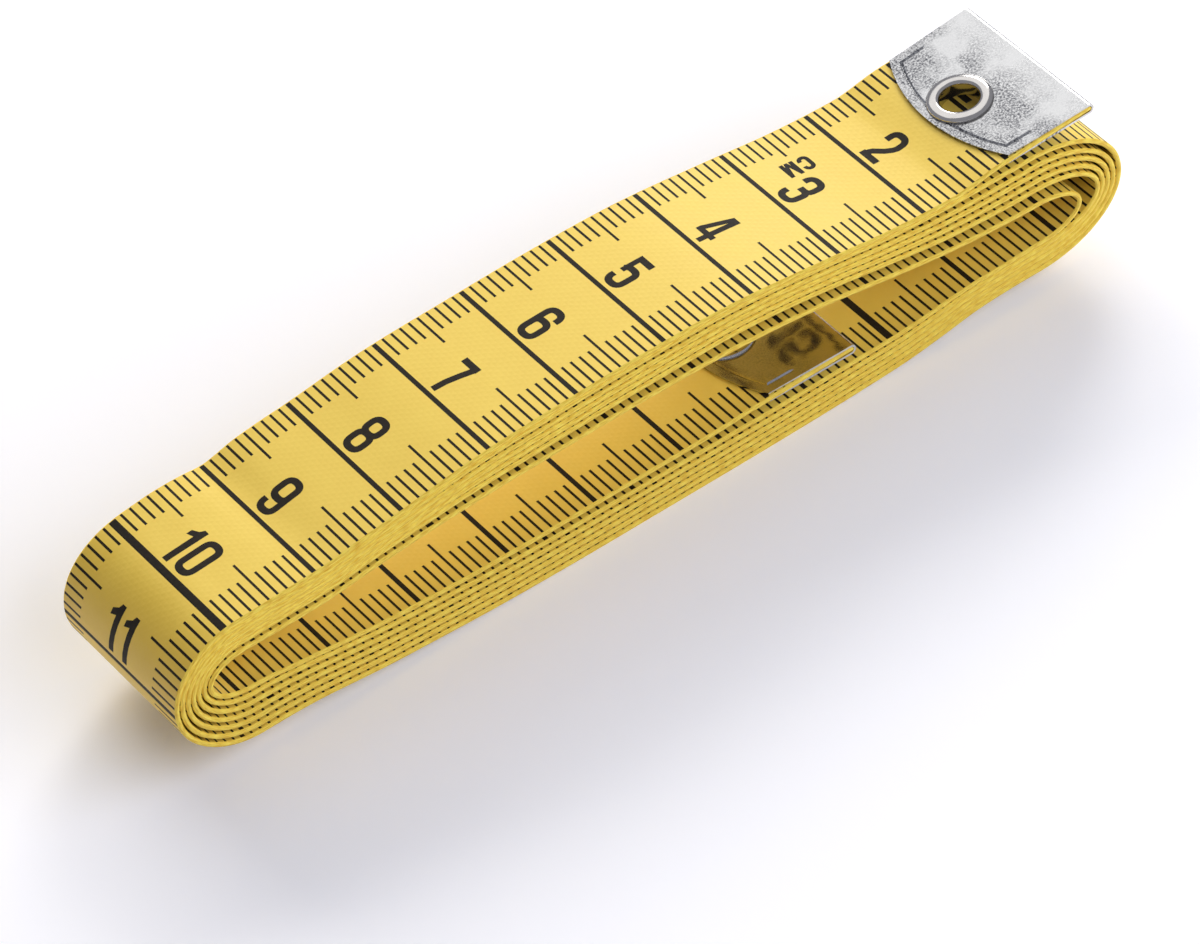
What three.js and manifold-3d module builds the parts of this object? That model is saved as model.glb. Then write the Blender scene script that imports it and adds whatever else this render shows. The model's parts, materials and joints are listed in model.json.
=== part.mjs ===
// A tailor's tape measure, wound up flat: one printed tape in a long loop of seven turns, with a
// folded steel tip and an eyelet at each end. Millimetres, +Z up, +X along the loop towards the
// outer tip. The origin is under the middle of the loop, on the surface that it lies on.

import * as THREE from 'three';
import { mergeVertices } from 'three/addons/utils/BufferGeometryUtils.js';
import Module from 'manifold-3d';

const wasm = await Module();
wasm.setup();

// The tape.
const TAPE_WIDTH = 19;
const TAPE_THICKNESS = 0.45;
const LAYER_GAP = 0.42;

// The loop that the tape is wound into, measured outside.
const TURNS = 7;
const LOOP_LENGTH = 108.7;
const LEFT_FOLD_HEIGHT = 15.1;
const RIGHT_FOLD_HEIGHT = 13.9;
const CROWN_RISE = 3;
const BELLY_DROP = 2;
const BELLY_FLAT_LENGTH = 30;

// The two free ends bend up at a hinge line, a narrow gap across the tape.
const HINGE_GAP = 0.3;
const OUTER_HINGE_X = 8;
const INNER_HINGE_X = -8;

// Where each tip lies: the end of its fold and its slope. The tape eases off its run into the
// line of the tip, which stands off the run far enough to clear the turn below.
const OUTER_TIP_SETBACK = 2.5;
const OUTER_TIP_SLOPE = THREE.MathUtils.degToRad(3.5);
const INNER_TIP_X = 22.2;
const INNER_TIP_SLOPE = THREE.MathUtils.degToRad(1);
const TIP_STANDOFF = 0.35;
const TIP_EASE_LENGTH = 6;

// The tip: one piece of sheet folded over the end of the tape.
const CLIP_SHEET = 0.22;
const CLIP_CLEARANCE = 0.1;
const CLIP_LENGTH = 12.4;
const CLIP_SIDE_LENGTH = 10;
const CLIP_END_INSET = 0.1;
const CLIP_CORNER_INSET = 0.4;
const CLIP_MARGIN = 0.5;

// The eyelet, clinched through the tip and the tape.
const EYELET_SETBACK = 8.6;
const EYELET_BORE = 3.9;
const EYELET_WALL = 0.3;
const EYELET_CLEARANCE = 0.15;
const EYELET_SEAT_GAP = 0.05;
const EYELET_DOME_WIDTH = 1.4;
const EYELET_DOME_HEIGHT = 0.8;
const EYELET_BACK_WIDTH = 0.95;
const EYELET_BACK_THICKNESS = 0.18;

// How finely curves are drawn.
const FOLD_STEPS = 12;
const RUN_STEPS = 20;
const EASE_STEPS = 6;
const ARC_STEPS = 24;
const LATHE_STEPS = 32;
const DOME_STEPS = 6;

// Values worked out from the sizes above.
const PITCH = TAPE_THICKNESS + LAYER_GAP;
const HALF_TAPE = TAPE_THICKNESS / 2;
const LEFT_RADIUS = LEFT_FOLD_HEIGHT / 2;
const RIGHT_RADIUS = RIGHT_FOLD_HEIGHT / 2;
const LEFT_CENTRE = new THREE.Vector2(LEFT_RADIUS - LOOP_LENGTH / 2, BELLY_DROP + LEFT_RADIUS);
const RIGHT_CENTRE = new THREE.Vector2(LOOP_LENGTH / 2 - RIGHT_RADIUS, BELLY_DROP + RIGHT_RADIUS);
const CLIP_HALF_INSIDE = HALF_TAPE + CLIP_CLEARANCE;
const CLIP_HALF_OUTSIDE = CLIP_HALF_INSIDE + CLIP_SHEET;
const CLIP_STRAIGHT = CLIP_LENGTH + CLIP_MARGIN;
const BORE_RADIUS = EYELET_BORE / 2;
const BARREL_RADIUS = BORE_RADIUS + EYELET_WALL;
const HOLE_RADIUS = BARREL_RADIUS + EYELET_CLEARANCE;

// A cut through a tip reaches well past both of its faces.
const CUT_HEIGHT = 4 * CLIP_HALF_OUTSIDE;

// Materials, each with the colour of the real surface.
const tapeMaterial = (name) =>
  new THREE.MeshStandardMaterial({ name, color: 0xe8c33a, roughness: 0.5, metalness: 0 });
const steelMaterial = (name) =>
  new THREE.MeshStandardMaterial({ name, color: 0xc9cacc, roughness: 0.3, metalness: 1 });

// The routes lie in the XZ plane, so their points are (x, z) pairs.

// Middle of the tape on an upper run. Each turn sinks one pitch on its way along this run, from
// the right fold to the left one.
function upperHeight(x, turn) {
  const fromLeft = (x - LEFT_CENTRE.x) / (RIGHT_CENTRE.x - LEFT_CENTRE.x);
  const sunk = 1 - THREE.MathUtils.smoothstep(fromLeft, 0, 1);
  const leftTop = LEFT_CENTRE.y + LEFT_RADIUS;
  const rightTop = RIGHT_CENTRE.y + RIGHT_RADIUS;
  const top = THREE.MathUtils.lerp(rightTop, leftTop, sunk);
  const crown = CROWN_RISE * Math.sin(Math.PI * fromLeft) ** 2;
  return top + crown - HALF_TAPE - (turn - 1 + sunk) * PITCH;
}

// Middle of the tape on a lower run, flat in the middle, where the loop lies on its belly.
function lowerHeight(x, turn) {
  const foldX = x < 0 ? -LEFT_CENTRE.x : RIGHT_CENTRE.x;
  const flat = BELLY_FLAT_LENGTH / 2;
  const away = THREE.MathUtils.clamp((Math.abs(x) - flat) / (foldX - flat), 0, 1);
  return BELLY_DROP * Math.sin((Math.PI / 2) * away) ** 2 + HALF_TAPE + turn * PITCH;
}

// Points along a run. All runs share the same stations, so that neighbouring turns stay parallel.
function runPoints(height, turn, fromX, toX) {
  const between = [];
  for (let step = 1; step < RUN_STEPS; step += 1) {
    const x = THREE.MathUtils.lerp(LEFT_CENTRE.x, RIGHT_CENTRE.x, step / RUN_STEPS);
    if ((x - fromX) * (x - toX) < 0) {
      between.push(x);
    }
  }
  if (toX < fromX) {
    between.reverse();
  }
  return [fromX, ...between, toX].map((x) => new THREE.Vector2(x, height(x, turn)));
}

// Points inside a fold's half circle, anticlockwise; its ends belong to the runs.
function foldPoints(centre, radius, startAngle) {
  const points = [];
  for (let step = 1; step < FOLD_STEPS; step += 1) {
    const angle = startAngle + (Math.PI * step) / FOLD_STEPS;
    points.push(new THREE.Vector2(Math.cos(angle), Math.sin(angle)).multiplyScalar(radius).add(centre));
  }
  return points;
}

// The whole winding, from the outer hinge line to the inner one.
function windingRoute() {
  const route = [];
  for (let turn = 0; turn < TURNS; turn += 1) {
    const inset = HALF_TAPE + turn * PITCH;
    const last = turn === TURNS - 1;
    const startX = turn === 0 ? OUTER_HINGE_X - HINGE_GAP / 2 : RIGHT_CENTRE.x;
    const endX = last ? INNER_HINGE_X - HINGE_GAP / 2 : RIGHT_CENTRE.x;
    route.push(...runPoints(upperHeight, turn, startX, LEFT_CENTRE.x));
    route.push(...foldPoints(LEFT_CENTRE, LEFT_RADIUS - inset, Math.PI / 2));
    route.push(...runPoints(lowerHeight, turn, LEFT_CENTRE.x, endX));
    if (!last) {
      route.push(...foldPoints(RIGHT_CENTRE, RIGHT_RADIUS - inset, -Math.PI / 2));
    }
  }
  return route;
}

// Where a tip sits: the end of its fold on the middle of the tape, and the way that it points.
function tipPlace(height, turn, x, slope) {
  const straightX = x - CLIP_STRAIGHT * Math.cos(slope);
  const z = height(straightX, turn) + TIP_STANDOFF + CLIP_STRAIGHT * Math.sin(slope);
  return { x, z, slope };
}

function pointBehindTip(tip, distance) {
  const x = tip.x - distance * Math.cos(tip.slope);
  const z = tip.z - distance * Math.sin(tip.slope);
  return new THREE.Vector2(x, z);
}

// A free end: it follows its run from the hinge line, eases into the tip's line and ends in the tip.
function endRoute(height, turn, hingeX, tip) {
  const straightStart = pointBehindTip(tip, CLIP_STRAIGHT);
  const easeX = straightStart.x - TIP_EASE_LENGTH;
  const reach = TIP_EASE_LENGTH / 3;
  const easeStart = new THREE.Vector2(easeX, height(easeX, turn));
  const runSlope = (height(easeX, turn) - height(easeX - reach, turn)) / reach;
  const startHandle = new THREE.Vector2(easeX + reach, easeStart.y + reach * runSlope);
  const endHandle = pointBehindTip(tip, CLIP_STRAIGHT + reach);
  const ease = new THREE.CubicBezierCurve(easeStart, startHandle, endHandle, straightStart);
  const followed = runPoints(height, turn, hingeX + HINGE_GAP / 2, easeX);
  const tapeEnd = pointBehindTip(tip, CLIP_HALF_OUTSIDE + CLIP_CLEARANCE);
  return [...followed, ...ease.getPoints(EASE_STEPS).slice(1), tapeEnd];
}

// Left-hand normals of a route, lengthened at the corners so that the strip keeps its thickness.
function mitredNormals(route) {
  return route.map((point, index) => {
    const before = route[Math.max(index - 1, 0)];
    const after = route[Math.min(index + 1, route.length - 1)];
    const into = (index === 0 ? after.clone().sub(point) : point.clone().sub(before)).normalize();
    const out = (index === route.length - 1 ? into.clone() : after.clone().sub(point)).normalize();
    const along = into.clone().add(out).normalize();
    return new THREE.Vector2(-along.y, along.x).divideScalar(along.dot(into));
  });
}

// A strip of tape along a route, as wide as the tape and centred on Y = 0.
function tapeGeometry(route) {
  const normals = mitredNormals(route);
  const left = route.map((point, index) => point.clone().addScaledVector(normals[index], HALF_TAPE));
  const right = route.map((point, index) => point.clone().addScaledVector(normals[index], -HALF_TAPE));
  const outline = new THREE.Shape([...right, ...left.reverse()]);
  const geometry = new THREE.ExtrudeGeometry(outline, { depth: TAPE_WIDTH, bevelEnabled: false });
  return geometry.rotateX(Math.PI / 2).translate(0, TAPE_WIDTH / 2, 0);
}

// Joins and cuts work on solids with merged vertices.
function toSolid(geometry) {
  const bare = geometry.clone();
  bare.deleteAttribute('normal');
  bare.deleteAttribute('uv');
  const merged = mergeVertices(bare);
  const mesh = new wasm.Mesh({
    numProp: 3,
    vertProperties: Float32Array.from(merged.attributes.position.array),
    triVerts: Uint32Array.from(merged.index.array),
  });
  return new wasm.Manifold(mesh);
}

function toGeometry(solid) {
  const mesh = solid.getMesh();
  const geometry = new THREE.BufferGeometry();
  geometry.setAttribute('position', new THREE.BufferAttribute(mesh.vertProperties, mesh.numProp));
  geometry.setIndex(new THREE.BufferAttribute(mesh.triVerts, 1));
  geometry.computeVertexNormals();
  return geometry;
}

// In a tip's own frame X = 0 is the end of the fold, X runs out along the tape and Z = 0 is the
// middle of the tape.

// The hole for the eyelet, through the whole thickness of the tip.
function eyeletCutter() {
  const cutter = new THREE.CylinderGeometry(HOLE_RADIUS, HOLE_RADIUS, CUT_HEIGHT, LATHE_STEPS);
  return cutter.rotateX(Math.PI / 2).translate(-EYELET_SETBACK, 0, 0);
}

// The sheet seen from the side: over the tape, round the end and back under it.
function clipSideOutline() {
  const outline = new THREE.Shape();
  const foldX = -CLIP_HALF_OUTSIDE;
  const backX = -CLIP_STRAIGHT;
  outline.moveTo(backX, -CLIP_HALF_OUTSIDE);
  outline.lineTo(foldX, -CLIP_HALF_OUTSIDE);
  outline.absarc(foldX, 0, CLIP_HALF_OUTSIDE, -Math.PI / 2, Math.PI / 2, false);
  outline.lineTo(backX, CLIP_HALF_OUTSIDE);
  outline.lineTo(backX, CLIP_HALF_INSIDE);
  outline.lineTo(foldX, CLIP_HALF_INSIDE);
  outline.absarc(foldX, 0, CLIP_HALF_INSIDE, Math.PI / 2, -Math.PI / 2, true);
  outline.lineTo(backX, -CLIP_HALF_INSIDE);
  return outline;
}

// The tip seen from above: a straight end, slightly drawn-in sides and a bowed inner edge.
function clipPlanOutline() {
  const outline = new THREE.Shape();
  const halfEnd = TAPE_WIDTH / 2 - CLIP_END_INSET;
  const halfCorner = TAPE_WIDTH / 2 - CLIP_CORNER_INSET;
  const bow = CLIP_LENGTH - CLIP_SIDE_LENGTH;
  const bowRadius = (halfCorner ** 2 + bow ** 2) / (2 * bow);
  const bowAngle = Math.asin(halfCorner / bowRadius);
  outline.moveTo(0, -halfEnd);
  outline.lineTo(0, halfEnd);
  outline.lineTo(-CLIP_SIDE_LENGTH, halfCorner);
  outline.absarc(bowRadius - CLIP_LENGTH, 0, bowRadius, Math.PI - bowAngle, Math.PI + bowAngle, false);
  return outline;
}

function clipGeometry() {
  const sheet = new THREE.ExtrudeGeometry(clipSideOutline(), {
    depth: TAPE_WIDTH,
    bevelEnabled: false,
    curveSegments: FOLD_STEPS,
  });
  sheet.rotateX(Math.PI / 2).translate(0, TAPE_WIDTH / 2, 0);
  const plan = new THREE.ExtrudeGeometry(clipPlanOutline(), {
    depth: CUT_HEIGHT,
    bevelEnabled: false,
    curveSegments: ARC_STEPS,
  });
  plan.translate(0, 0, -CUT_HEIGHT / 2);
  return toGeometry(toSolid(sheet).intersect(toSolid(plan)).subtract(toSolid(eyeletCutter())));
}

// The eyelet: a barrel through the hole, a domed flange above and a clinched flange below.
function eyeletGeometry() {
  const backRadius = BORE_RADIUS + EYELET_BACK_WIDTH;
  const seat = CLIP_HALF_OUTSIDE + EYELET_SEAT_GAP;
  const back = seat + EYELET_BACK_THICKNESS;
  const domeReach = EYELET_DOME_WIDTH / 2;
  const profile = [
    new THREE.Vector2(BORE_RADIUS, -back),
    new THREE.Vector2(backRadius, -back),
    new THREE.Vector2(backRadius, -seat),
    new THREE.Vector2(BARREL_RADIUS, -seat),
    new THREE.Vector2(BARREL_RADIUS, seat),
  ];
  for (let step = 0; step <= DOME_STEPS; step += 1) {
    const angle = (Math.PI * step) / DOME_STEPS;
    const r = BORE_RADIUS + domeReach * (1 + Math.cos(angle));
    profile.push(new THREE.Vector2(r, seat + EYELET_DOME_HEIGHT * Math.sin(angle)));
  }
  profile.push(profile[0].clone());
  const ring = new THREE.LatheGeometry(profile, LATHE_STEPS);
  return ring.rotateX(Math.PI / 2).translate(-EYELET_SETBACK, 0, 0);
}

function tipGroup(tip) {
  const group = new THREE.Group();
  group.position.set(tip.x, 0, tip.z);
  group.rotation.y = -tip.slope;
  return group;
}

// The end of the tape, with its eyelet hole cut where the tip holds it.
function tapeEndGeometry(route, tip) {
  const group = tipGroup(tip);
  group.updateMatrix();
  const cutter = eyeletCutter().applyMatrix4(group.matrix);
  return toGeometry(toSolid(tapeGeometry(route)).subtract(toSolid(cutter)));
}

function addMesh(parent, name, geometry, material) {
  const mesh = new THREE.Mesh(geometry, material(`${name}_finish`));
  mesh.name = name;
  parent.add(mesh);
}

// The least air between neighbouring turns, measured between points along the whole tape.
function leastGap(route) {
  const spacing = 0.2;
  const alongsideAfter = LOOP_LENGTH / 2;
  const samples = [];
  let travelled = 0;
  for (let index = 1; index < route.length; index += 1) {
    const from = route[index - 1];
    const length = from.distanceTo(route[index]);
    const count = Math.max(Math.ceil(length / spacing), 1);
    for (let step = 0; step < count; step += 1) {
      const share = step / count;
      samples.push({ point: from.clone().lerp(route[index], share), at: travelled + length * share });
    }
    travelled += length;
  }
  let least = Infinity;
  for (let a = 0; a < samples.length; a += 1) {
    for (let b = a + 1; b < samples.length; b += 1) {
      if (samples[b].at - samples[a].at > alongsideAfter) {
        least = Math.min(least, samples[a].point.distanceToSquared(samples[b].point));
      }
    }
  }
  return { gap: Math.sqrt(least) - TAPE_THICKNESS, length: travelled };
}

const outerTip = tipPlace(upperHeight, 0, LOOP_LENGTH / 2 - OUTER_TIP_SETBACK, OUTER_TIP_SLOPE);
const innerTip = tipPlace(lowerHeight, TURNS - 1, INNER_TIP_X, INNER_TIP_SLOPE);
const outerRoute = endRoute(upperHeight, 0, OUTER_HINGE_X, outerTip);
const innerRoute = endRoute(lowerHeight, TURNS - 1, INNER_HINGE_X, innerTip);
const woundRoute = windingRoute();

const measured = leastGap([...outerRoute.slice().reverse(), ...woundRoute, ...innerRoute]);
console.log(`Least gap between turns: ${measured.gap.toFixed(3)} mm`);
console.log(`Length of the tape: ${measured.length.toFixed(1)} mm`);

const tapeMeasure = new THREE.Group();
addMesh(tapeMeasure, 'tape_winding', tapeGeometry(woundRoute), tapeMaterial);
addMesh(tapeMeasure, 'tape_outer_end', tapeEndGeometry(outerRoute, outerTip), tapeMaterial);
addMesh(tapeMeasure, 'tape_inner_end', tapeEndGeometry(innerRoute, innerTip), tapeMaterial);

for (const [side, tip] of [['outer', outerTip], ['inner', innerTip]]) {
  const group = tipGroup(tip);
  addMesh(group, `${side}_tip_clip`, clipGeometry(), steelMaterial);
  addMesh(group, `${side}_tip_eyelet`, eyeletGeometry(), steelMaterial);
  tapeMeasure.add(group);
}

export default tapeMeasure;
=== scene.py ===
"""Looks of a tailor's tape measure: a printed tape wound flat into a loop, with a metal tip on each end.

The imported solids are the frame. Sizes are in millimetres, and turn to metres only as a mesh is made.
The tape's scale starts at the outer tip on its outer face and at the inner tip on its inner face.
"""

import json
import logging
import math
from collections import Counter
from dataclasses import dataclass, field
from enum import Enum
from typing import Any, Callable, Iterable, Sequence

import bmesh
import bpy
import numpy as np
from mathutils import Matrix, Vector
from mathutils.geometry import delaunay_2d_cdt

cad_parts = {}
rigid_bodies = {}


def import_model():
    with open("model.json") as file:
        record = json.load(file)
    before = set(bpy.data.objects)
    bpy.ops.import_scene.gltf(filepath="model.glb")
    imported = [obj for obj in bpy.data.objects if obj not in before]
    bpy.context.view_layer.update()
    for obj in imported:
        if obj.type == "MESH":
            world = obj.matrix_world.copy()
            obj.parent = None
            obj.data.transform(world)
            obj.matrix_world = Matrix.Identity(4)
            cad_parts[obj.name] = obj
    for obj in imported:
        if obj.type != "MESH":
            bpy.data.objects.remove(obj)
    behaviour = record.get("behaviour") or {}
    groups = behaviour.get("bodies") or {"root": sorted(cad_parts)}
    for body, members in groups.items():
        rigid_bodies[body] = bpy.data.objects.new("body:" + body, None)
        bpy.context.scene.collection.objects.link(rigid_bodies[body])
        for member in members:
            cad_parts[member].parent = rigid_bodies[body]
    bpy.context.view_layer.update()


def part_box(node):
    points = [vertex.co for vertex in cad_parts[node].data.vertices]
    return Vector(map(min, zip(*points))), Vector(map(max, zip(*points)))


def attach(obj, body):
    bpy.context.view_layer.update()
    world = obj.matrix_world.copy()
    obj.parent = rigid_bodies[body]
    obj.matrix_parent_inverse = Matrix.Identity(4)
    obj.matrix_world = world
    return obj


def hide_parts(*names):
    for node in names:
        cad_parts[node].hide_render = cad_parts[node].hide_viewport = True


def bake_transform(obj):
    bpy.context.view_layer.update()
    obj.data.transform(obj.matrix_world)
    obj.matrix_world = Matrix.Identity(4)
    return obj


for leftover in list(bpy.data.objects):
    bpy.data.objects.remove(leftover)
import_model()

log = logging.getLogger("tape_measure")

MM = 0.001

# The map that holds each point's place on the flat sheet, in millimetres.
FLAT_MAP = "flat_mm"

# Blender's band texture repeats every 2 pi / 20 of its coordinate at a scale of 1.
WAVE_PERIOD = math.tau / 20

# Points closer than this are one point when an outline is filled with triangles.
WELD = 1e-5

# Points of the tape's line closer than this are one point.
SAME_PLACE = 1e-6

# Places along the scale are rounded to so many decimals, so that equal ones match.
PLACE_DIGITS = 4

# In Blender's Mix node for colours: the factor, the two colours and the result.
MIX_FACTOR, MIX_A, MIX_B, MIX_RESULT = 0, 6, 7, 2

Outline = np.ndarray
Knots = tuple[tuple[float, float], ...]
Curve = Callable[[np.ndarray | float], np.ndarray]
Height = Callable[[np.ndarray | float, int], np.ndarray]


def linear(colour: str) -> tuple[float, float, float, float]:
    """Turns a colour into the values that shaders use.

    Args:
        colour: An sRGB colour as "#rrggbb".

    Returns:
        The linear red, green, blue and alpha.
    """
    parts = [int(colour[i : i + 2], 16) / 255 for i in (1, 3, 5)]
    flat = [c / 12.92 if c <= 0.04045 else ((c + 0.055) / 1.055) ** 2.4 for c in parts]
    return (flat[0], flat[1], flat[2], 1.0)


def feed(tree: bpy.types.NodeTree, node: bpy.types.Node, inputs: dict[str | int, Any]) -> None:
    """Sets a node's inputs.

    Args:
        tree: The node tree that holds the node.
        node: The node.
        inputs: What goes into each input, by name or number: a socket to link, or a value.
    """
    for name, value in inputs.items():
        if isinstance(value, bpy.types.NodeSocket):
            tree.links.new(value, node.inputs[name])
        else:
            node.inputs[name].default_value = value


def add_node(
    tree: bpy.types.NodeTree, kind: str, output: str | int, inputs: dict[str | int, Any], **settings: Any
) -> bpy.types.NodeSocket:
    """Adds a shader node with its settings and links.

    Args:
        tree: The node tree that gets the node.
        kind: The node's type, without the words that all of them start with.
        output: Name or number of the output that is used.
        inputs: What goes into each input, by name or number: a socket to link, or a value.
        **settings: The node's own properties.

    Returns:
        The output.
    """
    node = tree.nodes.new(f"ShaderNode{kind}")
    for name, value in settings.items():
        setattr(node, name, value)
    feed(tree, node, inputs)
    return node.outputs[output]


def limits(end: str, values: tuple[float, float]) -> dict[str | int, Any]:
    """Names the least and the greatest value of the From or To end of a range."""
    return {f"{end} Min": values[0], f"{end} Max": values[1]}


def new_finish(
    name: str,
) -> tuple[bpy.types.Material, bpy.types.NodeTree, bpy.types.Node, bpy.types.NodeSocket]:
    """Makes a material that is still to be filled in.

    Args:
        name: Its name.

    Returns:
        The material, its nodes, its shader, and the output with each point's place on the flat sheet in millimetres.
    """
    material = bpy.data.materials.new(name)
    material.use_nodes = True
    tree = material.node_tree
    return material, tree, tree.nodes["Principled BSDF"], add_node(tree, "UVMap", "UV", {}, uv_map=FLAT_MAP)


def seen(tree: bpy.types.NodeTree) -> bpy.types.NodeSocket:
    """Adds what is 1 for the rays that show something to the camera, also by way of a mirror, and 0 for others.

    Args:
        tree: The nodes of a material or the world.

    Returns:
        Its output.
    """
    found = add_node(tree, "LightPath", "Is Camera Ray", {})
    for kind in ("Is Glossy Ray", "Is Transmission Ray"):
        rays = add_node(tree, "LightPath", kind, {})
        found = add_node(tree, "Math", "Value", {0: found, 1: rays}, operation="MAXIMUM")
    return found


def smooth_curve(points: Knots) -> Curve:
    """Draws a smooth curve through a few points, level at both ends.

    Args:
        points: Pairs of position and value, in rising order of position.

    Returns:
        A function that gives the values at an array of positions.
    """
    at, value = np.array(points, float).T
    slope = np.gradient(value, at)
    slope[[0, -1]] = 0

    def curve(x: np.ndarray | float) -> np.ndarray:
        """Finds points of the curve.

        Args:
            x: Positions.

        Returns:
            The values there.
        """
        x = np.clip(x, at[0], at[-1])
        i = np.clip(np.searchsorted(at, x, side="right") - 1, 0, len(at) - 2)
        step = at[i + 1] - at[i]
        t = (x - at[i]) / step
        ends = value[i] * (1 + 2 * t) * (1 - t) ** 2 + value[i + 1] * t**2 * (3 - 2 * t)
        return ends + step * t * (1 - t) * (slope[i] * (1 - t) - slope[i + 1] * t)

    return curve


def counter_clockwise(outline: Outline) -> Outline:
    """Turns an outline the same way round as all others.

    Args:
        outline: Its points.

    Returns:
        The points in counter-clockwise order.
    """
    x, y = outline.T
    area = np.sum(x * np.roll(y, -1) - y * np.roll(x, -1))
    return outline if area > 0 else outline[::-1]


def arc(centre: tuple[float, float], radii: tuple[float, float], start: float, end: float, steps: int) -> Outline:
    """Draws part of an ellipse.

    Args:
        centre: Its centre.
        radii: Its two half axes.
        start: The angle of the first point, in degrees.
        end: The angle of the last point, in degrees.
        steps: How many stretches it has.

    Returns:
        The points, both ends included.
    """
    angle = np.radians(np.linspace(start, end, steps + 1))
    return np.c_[centre[0] + radii[0] * np.cos(angle), centre[1] + radii[1] * np.sin(angle)]


def thicken(line: Outline, width: float) -> Outline:
    """Draws a stroke of even width along a line.

    Args:
        line: The points of its middle.
        width: Its width.

    Returns:
        Its outline.
    """
    step = np.diff(line, axis=0)
    step /= np.linalg.norm(step, axis=1)[:, None]
    before, after = np.vstack([step[:1], step]), np.vstack([step, step[-1:]])
    along = before + after
    along /= np.linalg.norm(along, axis=1)[:, None]
    reach = width / 2 / np.sum(along * before, axis=1)
    side = np.c_[-along[:, 1], along[:, 0]] * reach[:, None]
    return np.vstack([line + side, (line - side)[::-1]])


@dataclass
class Filled:
    """An outline filled with triangles.

    Attributes:
        points: All corners.
        triangles: Three corner numbers for each triangle, counter-clockwise.
        shape: For each triangle, the number of an inner shape that holds it, or -1.
        given: For each corner, the number of the given point that it was, or -1.
    """

    points: np.ndarray
    triangles: np.ndarray
    shape: np.ndarray
    given: np.ndarray


def fill(border: Outline, shapes: Sequence[Outline], lines: Iterable[Outline] = ()) -> Filled:
    """Fills an outline with triangles that keep to the edges of the shapes and lines inside it.

    Args:
        border: The outline, counter-clockwise.
        shapes: Counter-clockwise outlines inside it. Where some overlap, the last one counts.
        lines: Open lines inside it.

    Returns:
        The filled outline. Given points are counted through the border, the shapes and the lines in turn.
    """
    corners: list[np.ndarray] = []
    faces: list[list[int]] = []
    edges: list[tuple[int, int]] = []
    count = 0
    for outline in (border, *shapes):
        faces.append(list(range(count, count + len(outline))))
        corners.append(outline)
        count += len(outline)
    for line in lines:
        edges.extend((count + i, count + i + 1) for i in range(len(line) - 1))
        corners.append(line)
        count += len(line)
    given = [Vector(p) for p in np.vstack(corners)]
    inside_only = 1
    points, _, triangles, from_points, _, from_faces = delaunay_2d_cdt(given, edges, faces, inside_only, WELD)
    kept = [i for i, held in enumerate(from_faces) if 0 in held]
    return Filled(
        points=np.array([tuple(p) for p in points]),
        triangles=np.array([triangles[i] for i in kept]),
        shape=np.array([max(from_faces[i]) - 1 for i in kept]),
        given=np.array([min(held) if held else -1 for held in from_points]),
    )


def make_object(
    name: str,
    points: np.ndarray,
    faces: Sequence[Sequence[int]],
    flat: np.ndarray,
    materials: Sequence[bpy.types.Material],
    finish: Sequence[int] | None = None,
) -> bpy.types.Object:
    """Makes a smooth mesh object.

    Args:
        name: The piece's name.
        points: Its corners in millimetres.
        faces: Corner numbers of each face.
        flat: Each corner's place on the flat sheet, in millimetres.
        materials: Its material slots.
        finish: Each face's slot, or None where there is one slot.

    Returns:
        The object, linked to the scene.
    """
    mesh = bpy.data.meshes.new(name)
    mesh.from_pydata((points * MM).tolist(), [], [list(map(int, f)) for f in faces])
    mesh.polygons.foreach_set("use_smooth", np.ones(len(mesh.polygons), bool))
    corner = np.zeros(len(mesh.loops), np.int32)
    mesh.loops.foreach_get("vertex_index", corner)
    mesh.uv_layers.new(name=FLAT_MAP).data.foreach_set("uv", flat[corner].astype(np.float32).ravel())
    for material in materials:
        mesh.materials.append(material)
    if finish is not None:
        mesh.polygons.foreach_set("material_index", np.array(finish, np.int32))
    mesh.update()
    piece = bpy.data.objects.new(name, mesh)
    bpy.context.scene.collection.objects.link(piece)
    return piece


# Finishes


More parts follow.
